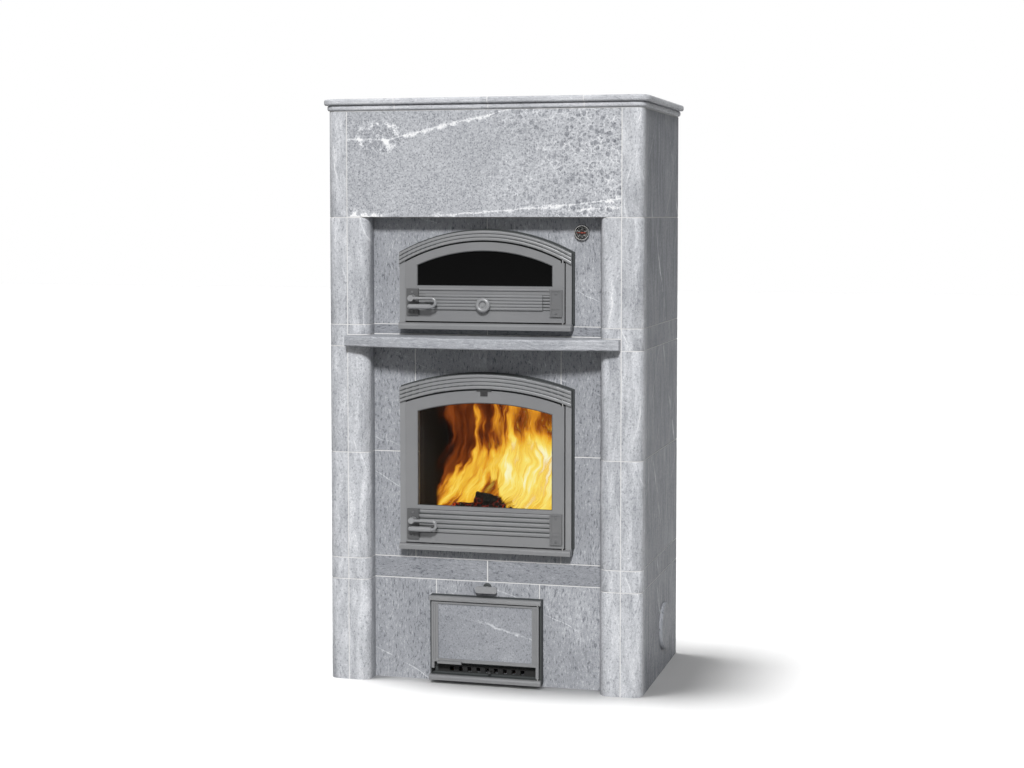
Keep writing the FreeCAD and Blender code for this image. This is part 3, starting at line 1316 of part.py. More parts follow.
dial_at = (dial_x, dial_z)
case_front = f"({recess} - dial_depth)"
well_floor = f"({case_front} + dial_well)"
well_radius = "dial_radius - bezel"
case_body = fuse(
    rod("y", dial_at, (f"{case_front} + bezel / 2", recess), "dial_radius"),
    rod("y", dial_at, (case_front, f"{case_front} + bezel / 2"), "dial_radius - bezel / 2", "dial_radius"),
    rod("y", dial_at, (recess, f"{recess} + stem_length"), "stem_radius"))
arbor_end = f"({well_floor} + dial_plate)"
arbor_hole = rod("y", dial_at, (f"{case_front} - joint", f"{arbor_end} + slack"),
                 "arbor_radius + running_clearance")
well = rod("y", dial_at, (f"{case_front} - joint", well_floor), well_radius)
subpart("thermometer_case", cut(case_body, well, arbor_hole))
dial_disc = rod("y", dial_at, (f"{well_floor} - dial_plate", well_floor), well_radius)
subpart("thermometer_dial", cut(dial_disc, arbor_hole))
needle_back = f"({well_floor} - dial_plate * 2)"
needle_front = f"({needle_back} - dial_plate)"
pointer = plate(needle_back, "dial_plate", [
    (f"{dial_x} + needle_tail", f"{dial_z} - needle_width"),
    (f"{dial_x} + needle_tail", f"{dial_z} + needle_width"),
    (f"{dial_x} - needle_length", f"{dial_z} + needle_width / 4"),
    (f"{dial_x} - needle_length", f"{dial_z} - needle_width / 4"),
])
subpart("thermometer_needle", fuse(
    pointer,
    rod("y", dial_at, (needle_front, needle_back), "needle_hub"),
    rod("y", dial_at, (needle_back, arbor_end), "arbor_radius")))
glass_front = f"({case_front} + dial_plate / 2)"
subpart("thermometer_glass", rod("y", dial_at, (glass_front, f"{glass_front} + dial_glass"), well_radius))

doc.recompute()

failed = [item.Label for item in doc.Objects if {"Invalid", "Error"} & set(item.State)]
for item in subparts:
    if item.Shape.isNull() or not item.Shape.isValid():
        failed.append(item.Label)
if failed:
    raise ValueError(f"not built: {failed}")

os.makedirs("parts", exist_ok=True)
for item in subparts:
    item.Shape.exportStep(f"parts/{item.Label}.step")
    print(item.Label, len(item.Shape.Solids), "solids")
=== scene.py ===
# %% [markdown]
# A soapstone heater keeps the heat of one short, hot fire in more than a tonne of stone.
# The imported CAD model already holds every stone, casting and pin in its place. This lesson
# gives them their finishes, lights the fire, and adds the small things that a maker would fit
# last: screws, dial marks, logs and embers. Loading the model first fixes the frame, so every
# new piece is simply put where the CAD says.

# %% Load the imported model
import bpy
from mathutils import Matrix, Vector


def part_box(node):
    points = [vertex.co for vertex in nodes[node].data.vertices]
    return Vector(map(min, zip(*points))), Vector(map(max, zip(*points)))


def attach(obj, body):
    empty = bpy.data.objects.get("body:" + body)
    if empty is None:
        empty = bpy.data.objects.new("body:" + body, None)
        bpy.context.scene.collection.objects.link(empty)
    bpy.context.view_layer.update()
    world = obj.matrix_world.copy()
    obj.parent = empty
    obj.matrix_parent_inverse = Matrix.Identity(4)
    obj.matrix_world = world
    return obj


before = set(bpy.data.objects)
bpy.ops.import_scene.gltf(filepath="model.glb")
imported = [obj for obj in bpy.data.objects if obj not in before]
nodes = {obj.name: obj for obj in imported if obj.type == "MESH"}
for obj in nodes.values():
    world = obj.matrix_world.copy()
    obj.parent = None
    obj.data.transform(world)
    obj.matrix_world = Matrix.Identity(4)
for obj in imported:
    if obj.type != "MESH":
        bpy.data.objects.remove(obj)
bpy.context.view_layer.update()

# %% Tools used all through
import math
import random

import bpy

bpy.ops.object.select_all(action="DESELECT")
scene = bpy.context.scene

# %% [markdown]
# Stone, iron and fire are all patterns here, so a shader needs a lot of arithmetic. It could be
# laid out by hand, node by node. Wrapping a socket in a small class lets the arithmetic be
# written as an expression instead: each operator adds its own Math node. Colours never go
# through Math nodes, because those would turn them grey.

# %% A number that varies over a surface


class Field:
    """One number at each point of a surface. Arithmetic on it adds Math nodes."""

    def __init__(self, finish, socket):
        self.finish = finish
        self.socket = socket

    def __add__(self, other):
        return self.finish.maths("ADD", self, other)

    def __sub__(self, other):
        return self.finish.maths("SUBTRACT", self, other)

    def __rsub__(self, other):
        return self.finish.maths("SUBTRACT", other, self)

    def __mul__(self, other):
        return self.finish.maths("MULTIPLY", self, other)

    def __truediv__(self, other):
        return self.finish.maths("DIVIDE", self, other)

    def __pow__(self, other):
        return self.finish.maths("POWER", self, other)

    def __mod__(self, other):
        return self.finish.maths("FLOORED_MODULO", self, other)

    def __abs__(self):
        return self.finish.maths("ABSOLUTE", self)

    def __gt__(self, other):
        return self.finish.maths("GREATER_THAN", self, other)

    __radd__ = __add__
    __rmul__ = __mul__


def pick(sockets, key):
    """A socket by its number, or by its name or identifier among those in use."""
    if isinstance(key, int):
        return sockets[key]
    return next(s for s in sockets if s.enabled and key in (s.name, s.identifier))


print("a field wraps one socket of a shader")

# %% A material built from expressions


class Finish:
    """A material with one Principled shader, and short words for the nodes that feed it."""

    def __init__(self, name, constants):
        self.material = bpy.data.materials.new(name)
        self.material.use_nodes = True
        self.tree = self.material.node_tree
        self.shader = self.tree.nodes["Principled BSDF"]
        for socket, constant in constants.items():
            self.feed(socket, constant)

    def plug(self, socket, entry):
        if isinstance(entry, Field):
            self.tree.links.new(entry.socket, socket)
        else:
            socket.default_value = entry

    def feed(self, name, entry):
        """Sets a constant, or links a field, on the shader's own socket."""
        self.plug(pick(self.shader.inputs, name), entry)

    def node(self, kind, settings, sockets, output=0):
        """Adds one node: its settings first, then the values or links of its sockets."""
        made = self.tree.nodes.new("ShaderNode" + kind)
        for key, setting in settings.items():
            if key == "stops":
                set_stops(made.color_ramp, setting)
            else:
                setattr(made, key, setting)
        for key, entry in sockets.items():
            self.plug(pick(made.inputs, key), entry)
        return Field(self, pick(made.outputs, output))

    def maths(self, operation, *entries):
        return self.node("Math", {"operation": operation}, dict(enumerate(entries)))

    def vector(self, operation, *entries):
        return self.node("VectorMath", {"operation": operation}, dict(enumerate(entries)))

    def place(self):
        """Where a point lies on the object, in metres."""
        return self.node("TexCoord", {}, {}, "Object")

    def axes(self, vector):
        parts = self.node("SeparateXYZ", {}, {0: vector}).socket.node
        return [Field(self, socket) for socket in parts.outputs]

    def stack(self, x, y, z):
        return self.node("CombineXYZ", {}, {0: x, 1: y, 2: z})

    def noise(self, vector, scale, detail=2.0, roughness=0.5, output="Fac"):
        sockets = {"Vector": vector, "Scale": scale, "Detail": detail, "Roughness": roughness}
        return self.node("TexNoise", {}, sockets, output)

    def cells(self, vector, scale, feature="F1", output="Distance"):
        sockets = {"Vector": vector, "Scale": scale}
        return self.node("TexVoronoi", {"feature": feature}, sockets, output)

    def step(self, field, low, high):
        """Rises smoothly from 0 to 1 between low and high, or falls if low is the larger."""
        sockets = {"Value": field, "From Min": low, "From Max": high}
        return self.node("MapRange", {"interpolation_type": "SMOOTHSTEP"}, sockets, "Result")

    def mix(self, factor, first, second):
        """Goes from the first colour to the second."""
        sockets = {"Factor_Float": factor, "A_Color": first, "B_Color": second}
        return self.node("Mix", {"data_type": "RGBA"}, sockets, "Result_Color")

    def ramp(self, field, stops):
        return self.node("ValToRGB", {"stops": stops}, {"Fac": field}, "Color")

    def bump(self, height, distance, strength=1.0):
        sockets = {"Height": height, "Distance": distance, "Strength": strength}
        self.feed("Normal", self.node("Bump", {}, sockets))


def set_stops(ramp, stops):
    while len(ramp.elements) < len(stops):
        ramp.elements.new(0.5)
    for element, (place, shade) in zip(ramp.elements, stops):
        element.position = place
        element.color = shade


def grey(level, blue=0.0):
    """A grey of that reflectance, leaning to blue."""
    return (level * (1 - blue), level * (1 - blue * 0.4), level * (1 + blue), 1.0)


def dress(finish, *names):
    """Gives a finish to whole CAD nodes."""
    for name in names:
        shape = nodes[name].data
        shape.materials.clear()
        shape.materials.append(finish.material)
    print(finish.material.name, "on", ", ".join(names))


print("finishes are ready to be mixed")

# %% [markdown]
# Soapstone is talc with magnesite and a little dark chlorite. A sawn face shows soft clouds, a
# fine grain, dark slate-blue flecks, pale smears along the bedding and, here and there, a white
# vein. Each block is cut from another place in the quarry, so the pattern must break at every
# joint. The beds' heights give each block a number of its own, and that number shifts the
# pattern and the tone.

# %% Blocks of stone
BEDS = (0.3355, 0.4065, 0.7565, 1.1065, 1.1775, 1.5275, 1.8725)
SIDE_JOINT = 0.4575
COURSE_STEP = 7
QUARRY_JUMP = (9.0, 9.0, 9.0)
SWAY = (0.05, 0.05, 0.05)
SAW_MARK = 0.0004
SLATE = grey(0.105, 0.11)
STONE = grey(0.315, 0.052)
PALE = grey(0.56, 0.034)
CHALK = grey(0.78, 0.005)
# Soot inside the heater, and also the black of the painted shade on the air slide.
SOOT_AND_SHADE = grey(0.012)
SAWN = {"Specular IOR Level": 0.35}


def block_shift(stone, vector):
    """A random colour for each block, from the course and the column it stands in."""
    x, _, z = stone.axes(vector)
    course = sum(z > bed for bed in BEDS)
    column = (x > -SIDE_JOINT) + (x > 0) + (x > SIDE_JOINT)
    number = course * COURSE_STEP + column
    return stone.node("TexWhiteNoise", {"noise_dimensions": "1D"}, {"W": number}, "Color")


def finish_stone(stone, tone, grain, soot=0.0):
    """Turns a tone between slate and chalk into colour, sheen and a fine sawn texture."""
    shades = [(0.0, SLATE), (0.5, STONE), (0.8, PALE), (1.0, CHALK)]
    stone.feed("Base Color", stone.mix(soot, stone.ramp(tone, shades), SOOT_AND_SHADE))
    stone.feed("Roughness", 0.62 - 0.14 * grain + 0.35 * soot)
    stone.bump(grain, SAW_MARK, 0.5)
    return stone


def soapstone(name, tone, bedding, fleck, flecks, smears):
    """A block's tone: bedding and fleck give how the smears and the flecks are drawn out."""
    stone = Finish(name, SAWN)
    place = stone.place()
    shift = block_shift(stone, place)
    own = stone.vector("MULTIPLY_ADD", shift, QUARRY_JUMP, place)
    lean = stone.noise(own, 7.0, output="Color")
    bent = stone.vector("MULTIPLY_ADD", lean, SWAY, own)
    cloud = stone.noise(own, 5.0, 3.0)
    grain = stone.noise(own, 330.0, 2.0, 0.6)
    smear = stone.noise(stone.vector("MULTIPLY", bent, bedding), 1.0, 4.0, 0.6)
    needles = stone.noise(stone.vector("MULTIPLY", bent, fleck), 1.0, 3.0, 0.6)
    dark = stone.step(needles, 0.55, 0.66)
    light = stone.step(needles, 0.44, 0.33)
    chance = stone.axes(shift)[0]
    shade = (tone + 0.06 * (chance - 0.5) + 0.30 * (cloud - 0.5) + 0.45 * (grain - 0.5)
             + smears * (smear - 0.5) + flecks * (0.5 * light - dark))
    return stone, bent, grain, shade


print("stone runs from", SLATE[:3], "to", CHALK[:3])

# %% [markdown]
# The piers and side walls have upright bedding: pale smears run down them. Pale veins cross the two
# broad sides on a slant, and fainter, steeper ones run down the piers. The broad sides are darkened
# as painted shade, as if they faced away from the light. A vein is a plane through the block, bent
# by noise: points close to that plane turn chalky, and a second noise breaks the line up so that it
# comes and goes.

# %% Veins, piers and side walls
UPRIGHT = ((42.0, 42.0, 5.0), (190.0, 190.0, 110.0), 0.22, 0.75)
ROUNDED_CORNER = (-0.30, -0.22)
# Painted shade: the broad sides' tone is lowered by this much, as if they faced away from the
# light.
SIDE_PAINTED_SHADE = 0.46


def vein(stone, across, spacing, width, breaks):
    """Chalky along planes that stand so far apart, broken up by a noise."""
    line = stone.step(abs(across % spacing - spacing / 2), width, width * 0.15)
    return line * stone.step(breaks, 0.42, 0.62)


def upright_stone():
    stone, bent, grain, shade = soapstone("soapstone_upright", 0.66, *UPRIGHT)
    x, y, z = stone.axes(bent)
    breaks = stone.noise(bent, 9.0, 3.0, 0.6)
    side = stone.step(stone.axes(stone.place())[1], *ROUNDED_CORNER)
    slant = vein(stone, z * 0.62 + y, 0.47, 0.009, breaks)
    fine = vein(stone, z * 0.9 - y, 0.23, 0.004, breaks)
    steep = vein(stone, z * 0.22 + x, 0.17, 0.0028, breaks)
    fork = vein(stone, z * 0.16 - x, 0.21, 0.0024, breaks)
    # The broad sides get their veins and, taken off their tone, a painted shade.
    broad = side * (0.62 * slant + 0.42 * fine - SIDE_PAINTED_SHADE)
    narrow = 0.16 * (1 - side) * (steep + fork)
    return finish_stone(stone, shade + broad + narrow, grain)


dress(upright_stone(), "side_wall_stones", "pier_stones")

# %% [markdown]
# The recessed wall is cut from darker, coarser stone. Its flecks are needles that stand more or
# less upright, so the fleck noise is squeezed sideways and then bent. The shelf, the bands and the
# cornice are sawn along the bedding, which gives them a fine level grain. Behind the doors the wall
# is black with soot, so its colour also depends on how deep a point lies behind the wall's face.

# %% Recess, bands, shelf and cornice
WALL_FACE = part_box("oven_wall_stones")[0].y
SOOTED = (0.003, 0.02)
COARSE = ((30.0, 30.0, 12.0), (200.0, 200.0, 62.0), 0.34, 0.30)
BAND_CUT = ((12.0, 12.0, 80.0), (90.0, 90.0, 230.0), 0.28, 0.35)
SHELF_CUT = ((9.0, 30.0, 160.0), (45.0, 60.0, 330.0), 0.2, 0.45)
CORNICE_CUT = ((12.0, 12.0, 130.0), (70.0, 70.0, 330.0), 0.2, 0.35)


def wall_stone(name, tone, cut, sooty=False):
    """Stone of a tone and a cut: how it is bedded and flecked, and how strongly."""
    stone, bent, grain, shade = soapstone(name, tone, *cut)
    x, _, z = stone.axes(bent)
    breaks = stone.noise(bent, 11.0, 3.0, 0.6)
    thread = vein(stone, z + x * 0.45, 0.31, 0.0025, breaks)
    soot = 0.0
    if sooty:
        soot = stone.step(stone.axes(stone.place())[1] - WALL_FACE, *SOOTED)
    return finish_stone(stone, shade + 0.25 * thread, grain, soot)


dress(wall_stone("soapstone_recess", 0.455, COARSE, sooty=True),
      "base_front_stones", "firebox_wall_stones", "oven_wall_stones")
dress(wall_stone("soapstone_plain", 0.49, COARSE), "back_wall_stones", "base_slab", "roof_slab")
# The soot plugs sit in the broad sides, so their tone is lowered to the same painted shade.
dress(wall_stone("soapstone_plug", 0.28, COARSE), "left_soot_plug", "right_soot_plug")
dress(wall_stone("soapstone_band", 0.33, BAND_CUT), "band_stones")
dress(wall_stone("soapstone_shelf", 0.52, SHELF_CUT), "mantel_shelf")
dress(wall_stone("soapstone_cornice", 0.72, CORNICE_CUT), "cornice_stones")

# %% [markdown]
# The frieze is the showpiece: one wide slab, fine-grained on the left and set with thumbnail-sized
# slate crystals on the right, with pale threads of magnesite between them. One white vein climbs
# from the left edge to the top, another rises along the bottom. Cell patterns of three scales give
# the crystals, and the veins are drawn as heights along the slab.

# %% The frieze
FRIEZE_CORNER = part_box("frieze_stone")[0]
CLIMB_FROM, CREEP_FROM, FORK_FROM = 0.141, 0.301, 0.736
BURST_MIDDLE, BURST_SIZE = (0.11, 0.258), (0.10, 0.062)
CRYSTAL_SWAY = (0.009, 0.009, 0.009)


def crystals(stone, vector, scale, share):
    """Dark crystals in some cells of a cell pattern, and the pale threads between all of them."""
    core = stone.step(stone.cells(vector, scale), 0.50, 0.32)
    chance = stone.axes(stone.cells(vector, scale, output="Color"))[0]
    threads = stone.step(stone.cells(vector, scale, "DISTANCE_TO_EDGE"), 0.09, 0.01)
    return core * (chance > 1 - share), threads


def oval(across, up, middle, size):
    """Squared distance from the middle of an oval: 1 on its rim."""
    x = (across - middle[0]) / size[0]
    z = (up - middle[1]) / size[1]
    return x * x + z * z


def frieze_veins(stone, along, up, patch):
    """White veins: one climbs to the top, one creeps along the foot, and one forks off that."""
    wander = (stone.noise(stone.place(), 13.0, 4.0, 0.6) - 0.5) * 0.03
    swell = 0.0035 + 0.012 * stone.step(patch, 0.44, 0.66)

    def streak(height, sway, width):
        return stone.step(abs(up - height + wander * sway) / (swell * width), 1.0, 0.1)

    climb = stone.maths("MAXIMUM", along - CLIMB_FROM, 0.0)
    creep = stone.maths("MAXIMUM", along - CREEP_FROM, 0.0)
    main = streak(0.251 + 0.22 * climb, 1.0, 1.0)
    low = streak(0.004 + 0.098 * creep ** 1.25, 0.7, 1.0) * stone.step(along, 0.24, 0.36)
    fork = streak(0.022 + 0.05 * (along - FORK_FROM), 0.4, 0.6) * stone.step(along, 0.70, 0.78)
    return main + low + 0.7 * fork


def frieze():
    stone = Finish("soapstone_frieze", SAWN)
    place = stone.place()
    x, _, z = stone.axes(place)
    along = x - FRIEZE_CORNER.x
    up = z - FRIEZE_CORNER.z
    lean = stone.noise(place, 60.0, 3.0, 0.6, output="Color")
    bent = stone.vector("MULTIPLY_ADD", lean, CRYSTAL_SWAY, place)
    cloud = stone.noise(place, 6.0, 3.0)
    grain = stone.noise(place, 300.0, 2.0, 0.6)
    patch = stone.noise(place, 26.0, 3.0, 0.6)
    coarse = stone.step(along + 0.35 * up + 0.5 * (cloud - 0.5), 0.42, 0.85)
    pepper = stone.noise(bent, 170.0, 3.0, 0.65)
    small = crystals(stone, bent, 165.0, 0.45)[0]
    middling = crystals(stone, bent, 100.0, 0.36)[0]
    large, threads = crystals(stone, bent, 52.0, 0.38)
    loose = stone.step(patch, 0.40, 0.58)
    shade = (0.60 + 0.18 * (cloud - 0.5) + 0.40 * (grain - 0.5) + 0.75 * (pepper - 0.5)
             - 0.24 * small
             + coarse * (0.05 - 0.22 * middling - 0.25 * large + 0.19 * threads * loose))
    veins = frieze_veins(stone, along, up, patch)
    burst = stone.step(oval(along, up, BURST_MIDDLE, BURST_SIZE) + (patch - 0.5), 1.1, 0.35)
    corner = stone.step(up + 0.10 * along, 0.040, 0.006) * stone.step(along, 0.16, 0.06)
    chalky = stone.step(patch, 0.47, 0.60)
    shade = (shade + 0.30 * veins * (0.55 + 0.9 * patch)
             + burst * (0.20 * threads + 0.42 * chalky - 0.12) + 0.6 * corner * chalky)
    return finish_stone(stone, shade, grain)


dress(frieze(), "frieze_stone")

# %% [markdown]
# The ash door carries a thin slab of the same stone, a little darker than the wall, with one
# pale vein falling to the right. Its place comes from the panel's own box, so it stays on the panel
# if the door is made to another size. The joints are filled with a pale, gritty mortar.

# %% Ash door panel and mortar
PANEL_LOW, PANEL_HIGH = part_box("ash_door_panel")
PANEL_CUT = ((20.0, 20.0, 34.0), (200.0, 200.0, 160.0), 0.24, 0.26)
CORE_SIDE, CORE_BACK, CORE_TOP = (0.40, 0.36), (0.24, 0.20), (1.60, 1.55)


def panel_stone():
    stone, bent, grain, shade = soapstone("soapstone_panel", 0.385, *PANEL_CUT)
    x, _, z = stone.axes(stone.place())
    along = (x - PANEL_LOW.x) / (PANEL_HIGH.x - PANEL_LOW.x)
    down = (PANEL_HIGH.z - z) / (PANEL_HIGH.z - PANEL_LOW.z)
    wander = stone.noise(bent, 24.0, 3.0, 0.6) - 0.5
    line = abs(down - 0.08 - 0.5 * along + 0.16 * wander)
    patchy = stone.noise(bent, 17.0, 2.0)
    thread = stone.step(line, 0.035, 0.004) * stone.step(patchy, 0.36, 0.56)
    return finish_stone(stone, shade + 0.3 * thread * stone.step(along, 0.1, 0.4), grain)


def pale_mortar():
    mortar = Finish("pale_mortar", {"Roughness": 0.9, "Specular IOR Level": 0.2})
    grit = mortar.noise(mortar.place(), 500.0, 3.0, 0.7)
    damp = mortar.noise(mortar.place(), 9.0, 3.0)
    x, y, z = mortar.axes(mortar.place())
    inside = (mortar.step(abs(x), *CORE_SIDE) * mortar.step(y - WALL_FACE, *SOOTED)
              * mortar.step(y, *CORE_BACK) * mortar.step(z, *CORE_TOP))
    clean = mortar.mix(0.7 * grit + 0.5 * damp, grey(0.48), grey(0.78, -0.01))
    mortar.feed("Base Color", mortar.mix(inside, clean, SOOT_AND_SHADE))
    mortar.bump(grit, 0.0006)
    return mortar


dress(panel_stone(), "ash_door_panel")
dress(pale_mortar(), "mortar_joints")

# %% [markdown]
# Inside, the core is laid from firebrick. The chamber round the fire is black with soot, the oven
# only browned. A brick pattern needs a flat map: adding the two level axes lets one map serve the
# walls that face sideways and those that face the door.

# %% Firebrick
BRICK_SIZE = {"Scale": 1.0, "Mortar Size": 0.003, "Brick Width": 0.23, "Row Height": 0.064}


def firebrick(name, clay, shade, joint, soot):
    brick = Finish(name, {"Roughness": 0.92, "Specular IOR Level": 0.15})
    place = brick.place()
    x, y, z = brick.axes(place)
    flat = brick.stack(x + y, z, 0.0)
    laid = brick.node("TexBrick", {"offset": 0.5}, {
        "Vector": flat, "Color1": clay, "Color2": shade, "Mortar": joint, **BRICK_SIZE}, "Color")
    pores = brick.noise(place, 260.0, 3.0, 0.7)
    smoke = brick.noise(place, 7.0, 4.0, 0.6)
    darkened = brick.mix(brick.step(smoke, 0.2, 0.75) * soot, laid, SOOT_AND_SHADE)
    brick.feed("Base Color", brick.mix(0.5 * pores, darkened, grey(0.02)))
    brick.bump(pores, 0.001)
    return brick


SOOTY = firebrick("sooty_firebrick", (0.012, 0.014, 0.010, 1), (0.009, 0.011, 0.008, 1),
                  (0.005, 0.006, 0.005, 1), 0.9)
BROWNED = firebrick("browned_firebrick", (0.30, 0.20, 0.12, 1), (0.22, 0.15, 0.095, 1),
                    (0.16, 0.13, 0.10, 1), 0.6)
dress(SOOTY, "ash_chamber_walls", "firebox_floor", "firebox_lining")
dress(BROWNED, "oven_floor", "oven_walls", "oven_vault", "upper_core_walls")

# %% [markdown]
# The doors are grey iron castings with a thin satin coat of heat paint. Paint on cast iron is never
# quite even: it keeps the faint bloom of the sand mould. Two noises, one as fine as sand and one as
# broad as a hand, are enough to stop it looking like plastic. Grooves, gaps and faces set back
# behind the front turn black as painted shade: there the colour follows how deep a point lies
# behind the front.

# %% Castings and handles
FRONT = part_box("fire_door_leaf")[0].y
BAR_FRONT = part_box("oven_air_bar")[0].y
SLIDE_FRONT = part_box("ash_air_slide")[0].y
PAINTED_SHADE_IRON = (0.026, 0.031, 0.031, 1.0)
SATIN, DULL = 0.38, 0.46
SAND = 0.00022
PLAIN = (0.018, 0.026)


def coated_iron(name, level, roughness=SATIN, sand=SAND, front=FRONT, groove=0.0,
                deep=(0.03, 0.04), below=PAINTED_SHADE_IRON):
    """Painted iron with painted shade: black at the foot of grooves so deep, from one depth to
    another.
    """
    iron = Finish(name, {"Specular IOR Level": 0.45, "Metallic": 0.15})
    place = iron.place()
    bloom = iron.noise(place, 8.0, 4.0, 0.6)
    grit = iron.noise(place, 620.0, 2.0, 0.6)
    tint = iron.mix(bloom, grey(level * 0.9, 0.03), grey(level * 1.1, 0.01))
    sanded = iron.mix(0.35 * iron.step(grit, 0.5, 0.8), tint, grey(level * 0.72, 0.04))
    # Painted shade: black where a point lies deeper behind the front, and at the foot of a groove.
    depth = iron.axes(place)[1] - front
    painted_shade = iron.step(depth, *deep)
    if groove:
        foot = iron.step(abs(depth - groove), groove * 0.6, groove * 0.15)
        painted_shade = iron.maths("MAXIMUM", painted_shade, foot)
    iron.feed("Base Color", iron.mix(0.9 * painted_shade, sanded, below))
    iron.feed("Roughness", roughness + 0.16 * (bloom - 0.5) + 0.12 * (grit - 0.5) + 0.35 * painted_shade)
    iron.bump(grit, sand, 0.6)
    return iron


# Each paint's deep pair sets where its painted shade begins and where it is full.
CASTING = coated_iron("grey_heat_paint", 0.20, deep=PLAIN)
ASH_PAINT = coated_iron("ash_door_paint", 0.20, deep=(0.007, 0.013))
# The air slide turns black behind its knob's tip: painted shade in the colour of soot.
SLIDE = coated_iron("air_slide_paint", 0.03, DULL, 0.0001, SLIDE_FRONT,
                    deep=(0.0006, 0.0014), below=SOOT_AND_SHADE)
COVER = coated_iron("hinge_cover_paint", 0.135, DULL, deep=PLAIN)
# The latch plates are darker than the hinge covers: a painted shadow of the handle over them.
PLATE_IN_HANDLE_SHADOW = coated_iron("latch_plate_handle_shadow", 0.085, DULL, deep=PLAIN)
FRAME = coated_iron("frame_paint", 0.225, groove=0.002, deep=(0.009, 0.013))
LEAF = coated_iron("leaf_paint", 0.195, deep=(0.0016, 0.0032))
RIBBED = coated_iron("air_bar_paint", 0.20, front=BAR_FRONT, deep=(0.0006, 0.0018))
HANDLE = coated_iron("handle_paint", 0.25, 0.32, 0.00008)
FIREWORN = coated_iron("fireworn_iron", 0.03, 0.7, 0.0004)
print("paints mixed for castings whose front lies at", FRONT)

# %% Painted pieces
DOORS = ("fire", "oven")


def both(piece):
    """The names of a piece that both arched doors have."""
    return [f"{door}_{piece}" for door in DOORS]


dress(COVER, *both("hinge_cover"))
dress(PLATE_IN_HANDLE_SHADOW, *both("latch_plate"))
dress(CASTING, "damper_rosette", *both("door_sill"))
dress(ASH_PAINT, "ash_door_frame", "ash_door_leaf")
dress(SLIDE, "ash_air_slide")
dress(FRAME, *both("door_frame"))
dress(LEAF, *both("door_leaf"))
dress(RIBBED, "oven_air_bar")
dress(HANDLE, "oven_air_knob", "damper_rod", *both("door_handle"))
dress(FIREWORN, "fire_grate", "fire_top_catch")

# %% [markdown]
# Bare steel is rolled sheet or turned rod. Rolling leaves fine parallel scratches, so the noise is
# drawn out along one axis, and heat leaves a straw and blue tint on it.

# %% Sheet steel, pins and clips


def rolled_steel(name, level, roughness):
    steel = Finish(name, {"Metallic": 1.0})
    place = steel.place()
    lines = steel.noise(steel.vector("MULTIPLY", place, (12.0, 900.0, 900.0)), 1.0, 2.0)
    heat = steel.noise(place, 14.0, 3.0)
    tint = steel.mix(heat, grey(level, 0.06), (level * 1.05, level * 0.98, level * 0.86, 1.0))
    steel.feed("Base Color", tint)
    steel.feed("Roughness", roughness + 0.2 * (lines - 0.5))
    steel.bump(lines, 0.00003, 0.5)
    return steel


STEEL = rolled_steel("rolled_steel", 0.42, 0.42)
BRIGHT = rolled_steel("turned_steel", 0.62, 0.25)
dress(STEEL, "ash_pan", "flue_collar", "hinge_pins", *both("glass_clips"), *both("latch_spindle"))
dress(BRIGHT, "thermometer_case")

# %% [markdown]
# The firebox window is clear heat-proof glass, so the fire must show through it. A low, constant
# alpha keeps a trace of reflection and travels well into other programs. The oven's glass looks
# black: it is an opaque black pane, painted shade for the dark oven behind it. The rope seals are
# braided glass fibre.

# %% Glass, rope and dial
STRANDS = 1500.0
BLACK, DARK = (0.004, 0.004, 0.004, 1), (0.02, 0.02, 0.02, 1)


def pane(name, shade, alpha, specular):
    glass = Finish(name, {"Alpha": alpha, "Specular IOR Level": specular})
    haze = glass.noise(glass.place(), 30.0, 4.0, 0.6)
    glass.feed("Base Color", glass.mix(haze, shade, grey(shade[0] * 0.6)))
    glass.feed("Roughness", 0.03 + 0.08 * haze)
    return glass


def braided_rope():
    rope = Finish("braided_rope", {"Specular IOR Level": 0.1, "Roughness": 0.95})
    x, y, z = rope.axes(rope.place())
    one_way = rope.maths("SINE", (x + z + y) * STRANDS)
    braid = one_way * rope.maths("SINE", (x - z + y) * STRANDS)
    rope.feed("Base Color", rope.mix(0.5 + 0.5 * braid, grey(0.10), grey(0.34, -0.03)))
    rope.bump(braid, 0.0006)
    return rope


def enamel(name, shade, worn):
    coat = Finish(name, {"Roughness": 0.35})
    speck = coat.noise(coat.place(), 900.0, 2.0)
    coat.feed("Base Color", coat.mix(speck, shade, worn))
    return coat


dress(pane("clear_pane", DARK, 0.05, 0.5), "fire_door_glass")
dress(pane("thermometer_pane", DARK, 0.06, 0.5), "thermometer_glass")
# The oven pane is opaque black: painted shade for the dark oven behind it.
dress(pane("black_pane", BLACK, 1.0, 0.06), "oven_door_glass")
dress(braided_rope(), *both("door_seal"))
dress(enamel("dial_enamel", (0.008, 0.008, 0.008, 1), DARK), "thermometer_dial")
dress(enamel("needle_enamel", (0.36, 0.055, 0.03, 1), (0.28, 0.04, 0.02, 1)),
      "thermometer_needle")

# %% [markdown]
# The eye reads a sharp line as plastic. Sawn stones have an edge that is eased by hand with a
# rubbing block, so the stones get a narrow bevel. The CAD meshes themselves stay as they are: a
# Weld joins their loose triangles and a Bevel eases the sharp edges, both as live modifiers.

# %% Eased stone edges
EASED = ("side_wall_stones", "pier_stones", "frieze_stone", "band_stones", "firebox_wall_stones",
         "back_wall_stones", "ash_door_panel")
for name in EASED:
    weld = nodes[name].modifiers.new("join", "WELD")
    weld.merge_threshold = 0.00001
    ease = nodes[name].modifiers.new("ease", "BEVEL")
    ease.width = 0.0012
    ease.segments = 2
    ease.limit_method = "ANGLE"
    ease.angle_limit = math.radians(50)
print("eased", len(EASED), "kinds of stone")

# %% [markdown]
# New pieces start from a primitive and are shaped in edit mode, as they would be by hand. A few
# small helpers keep that readable: one starts a piece, one picks faces by where they are, one
# copies a piece, and one bakes a piece's place into its mesh, so that it rides on its body like a
# CAD node.

# %% Helpers for modelling


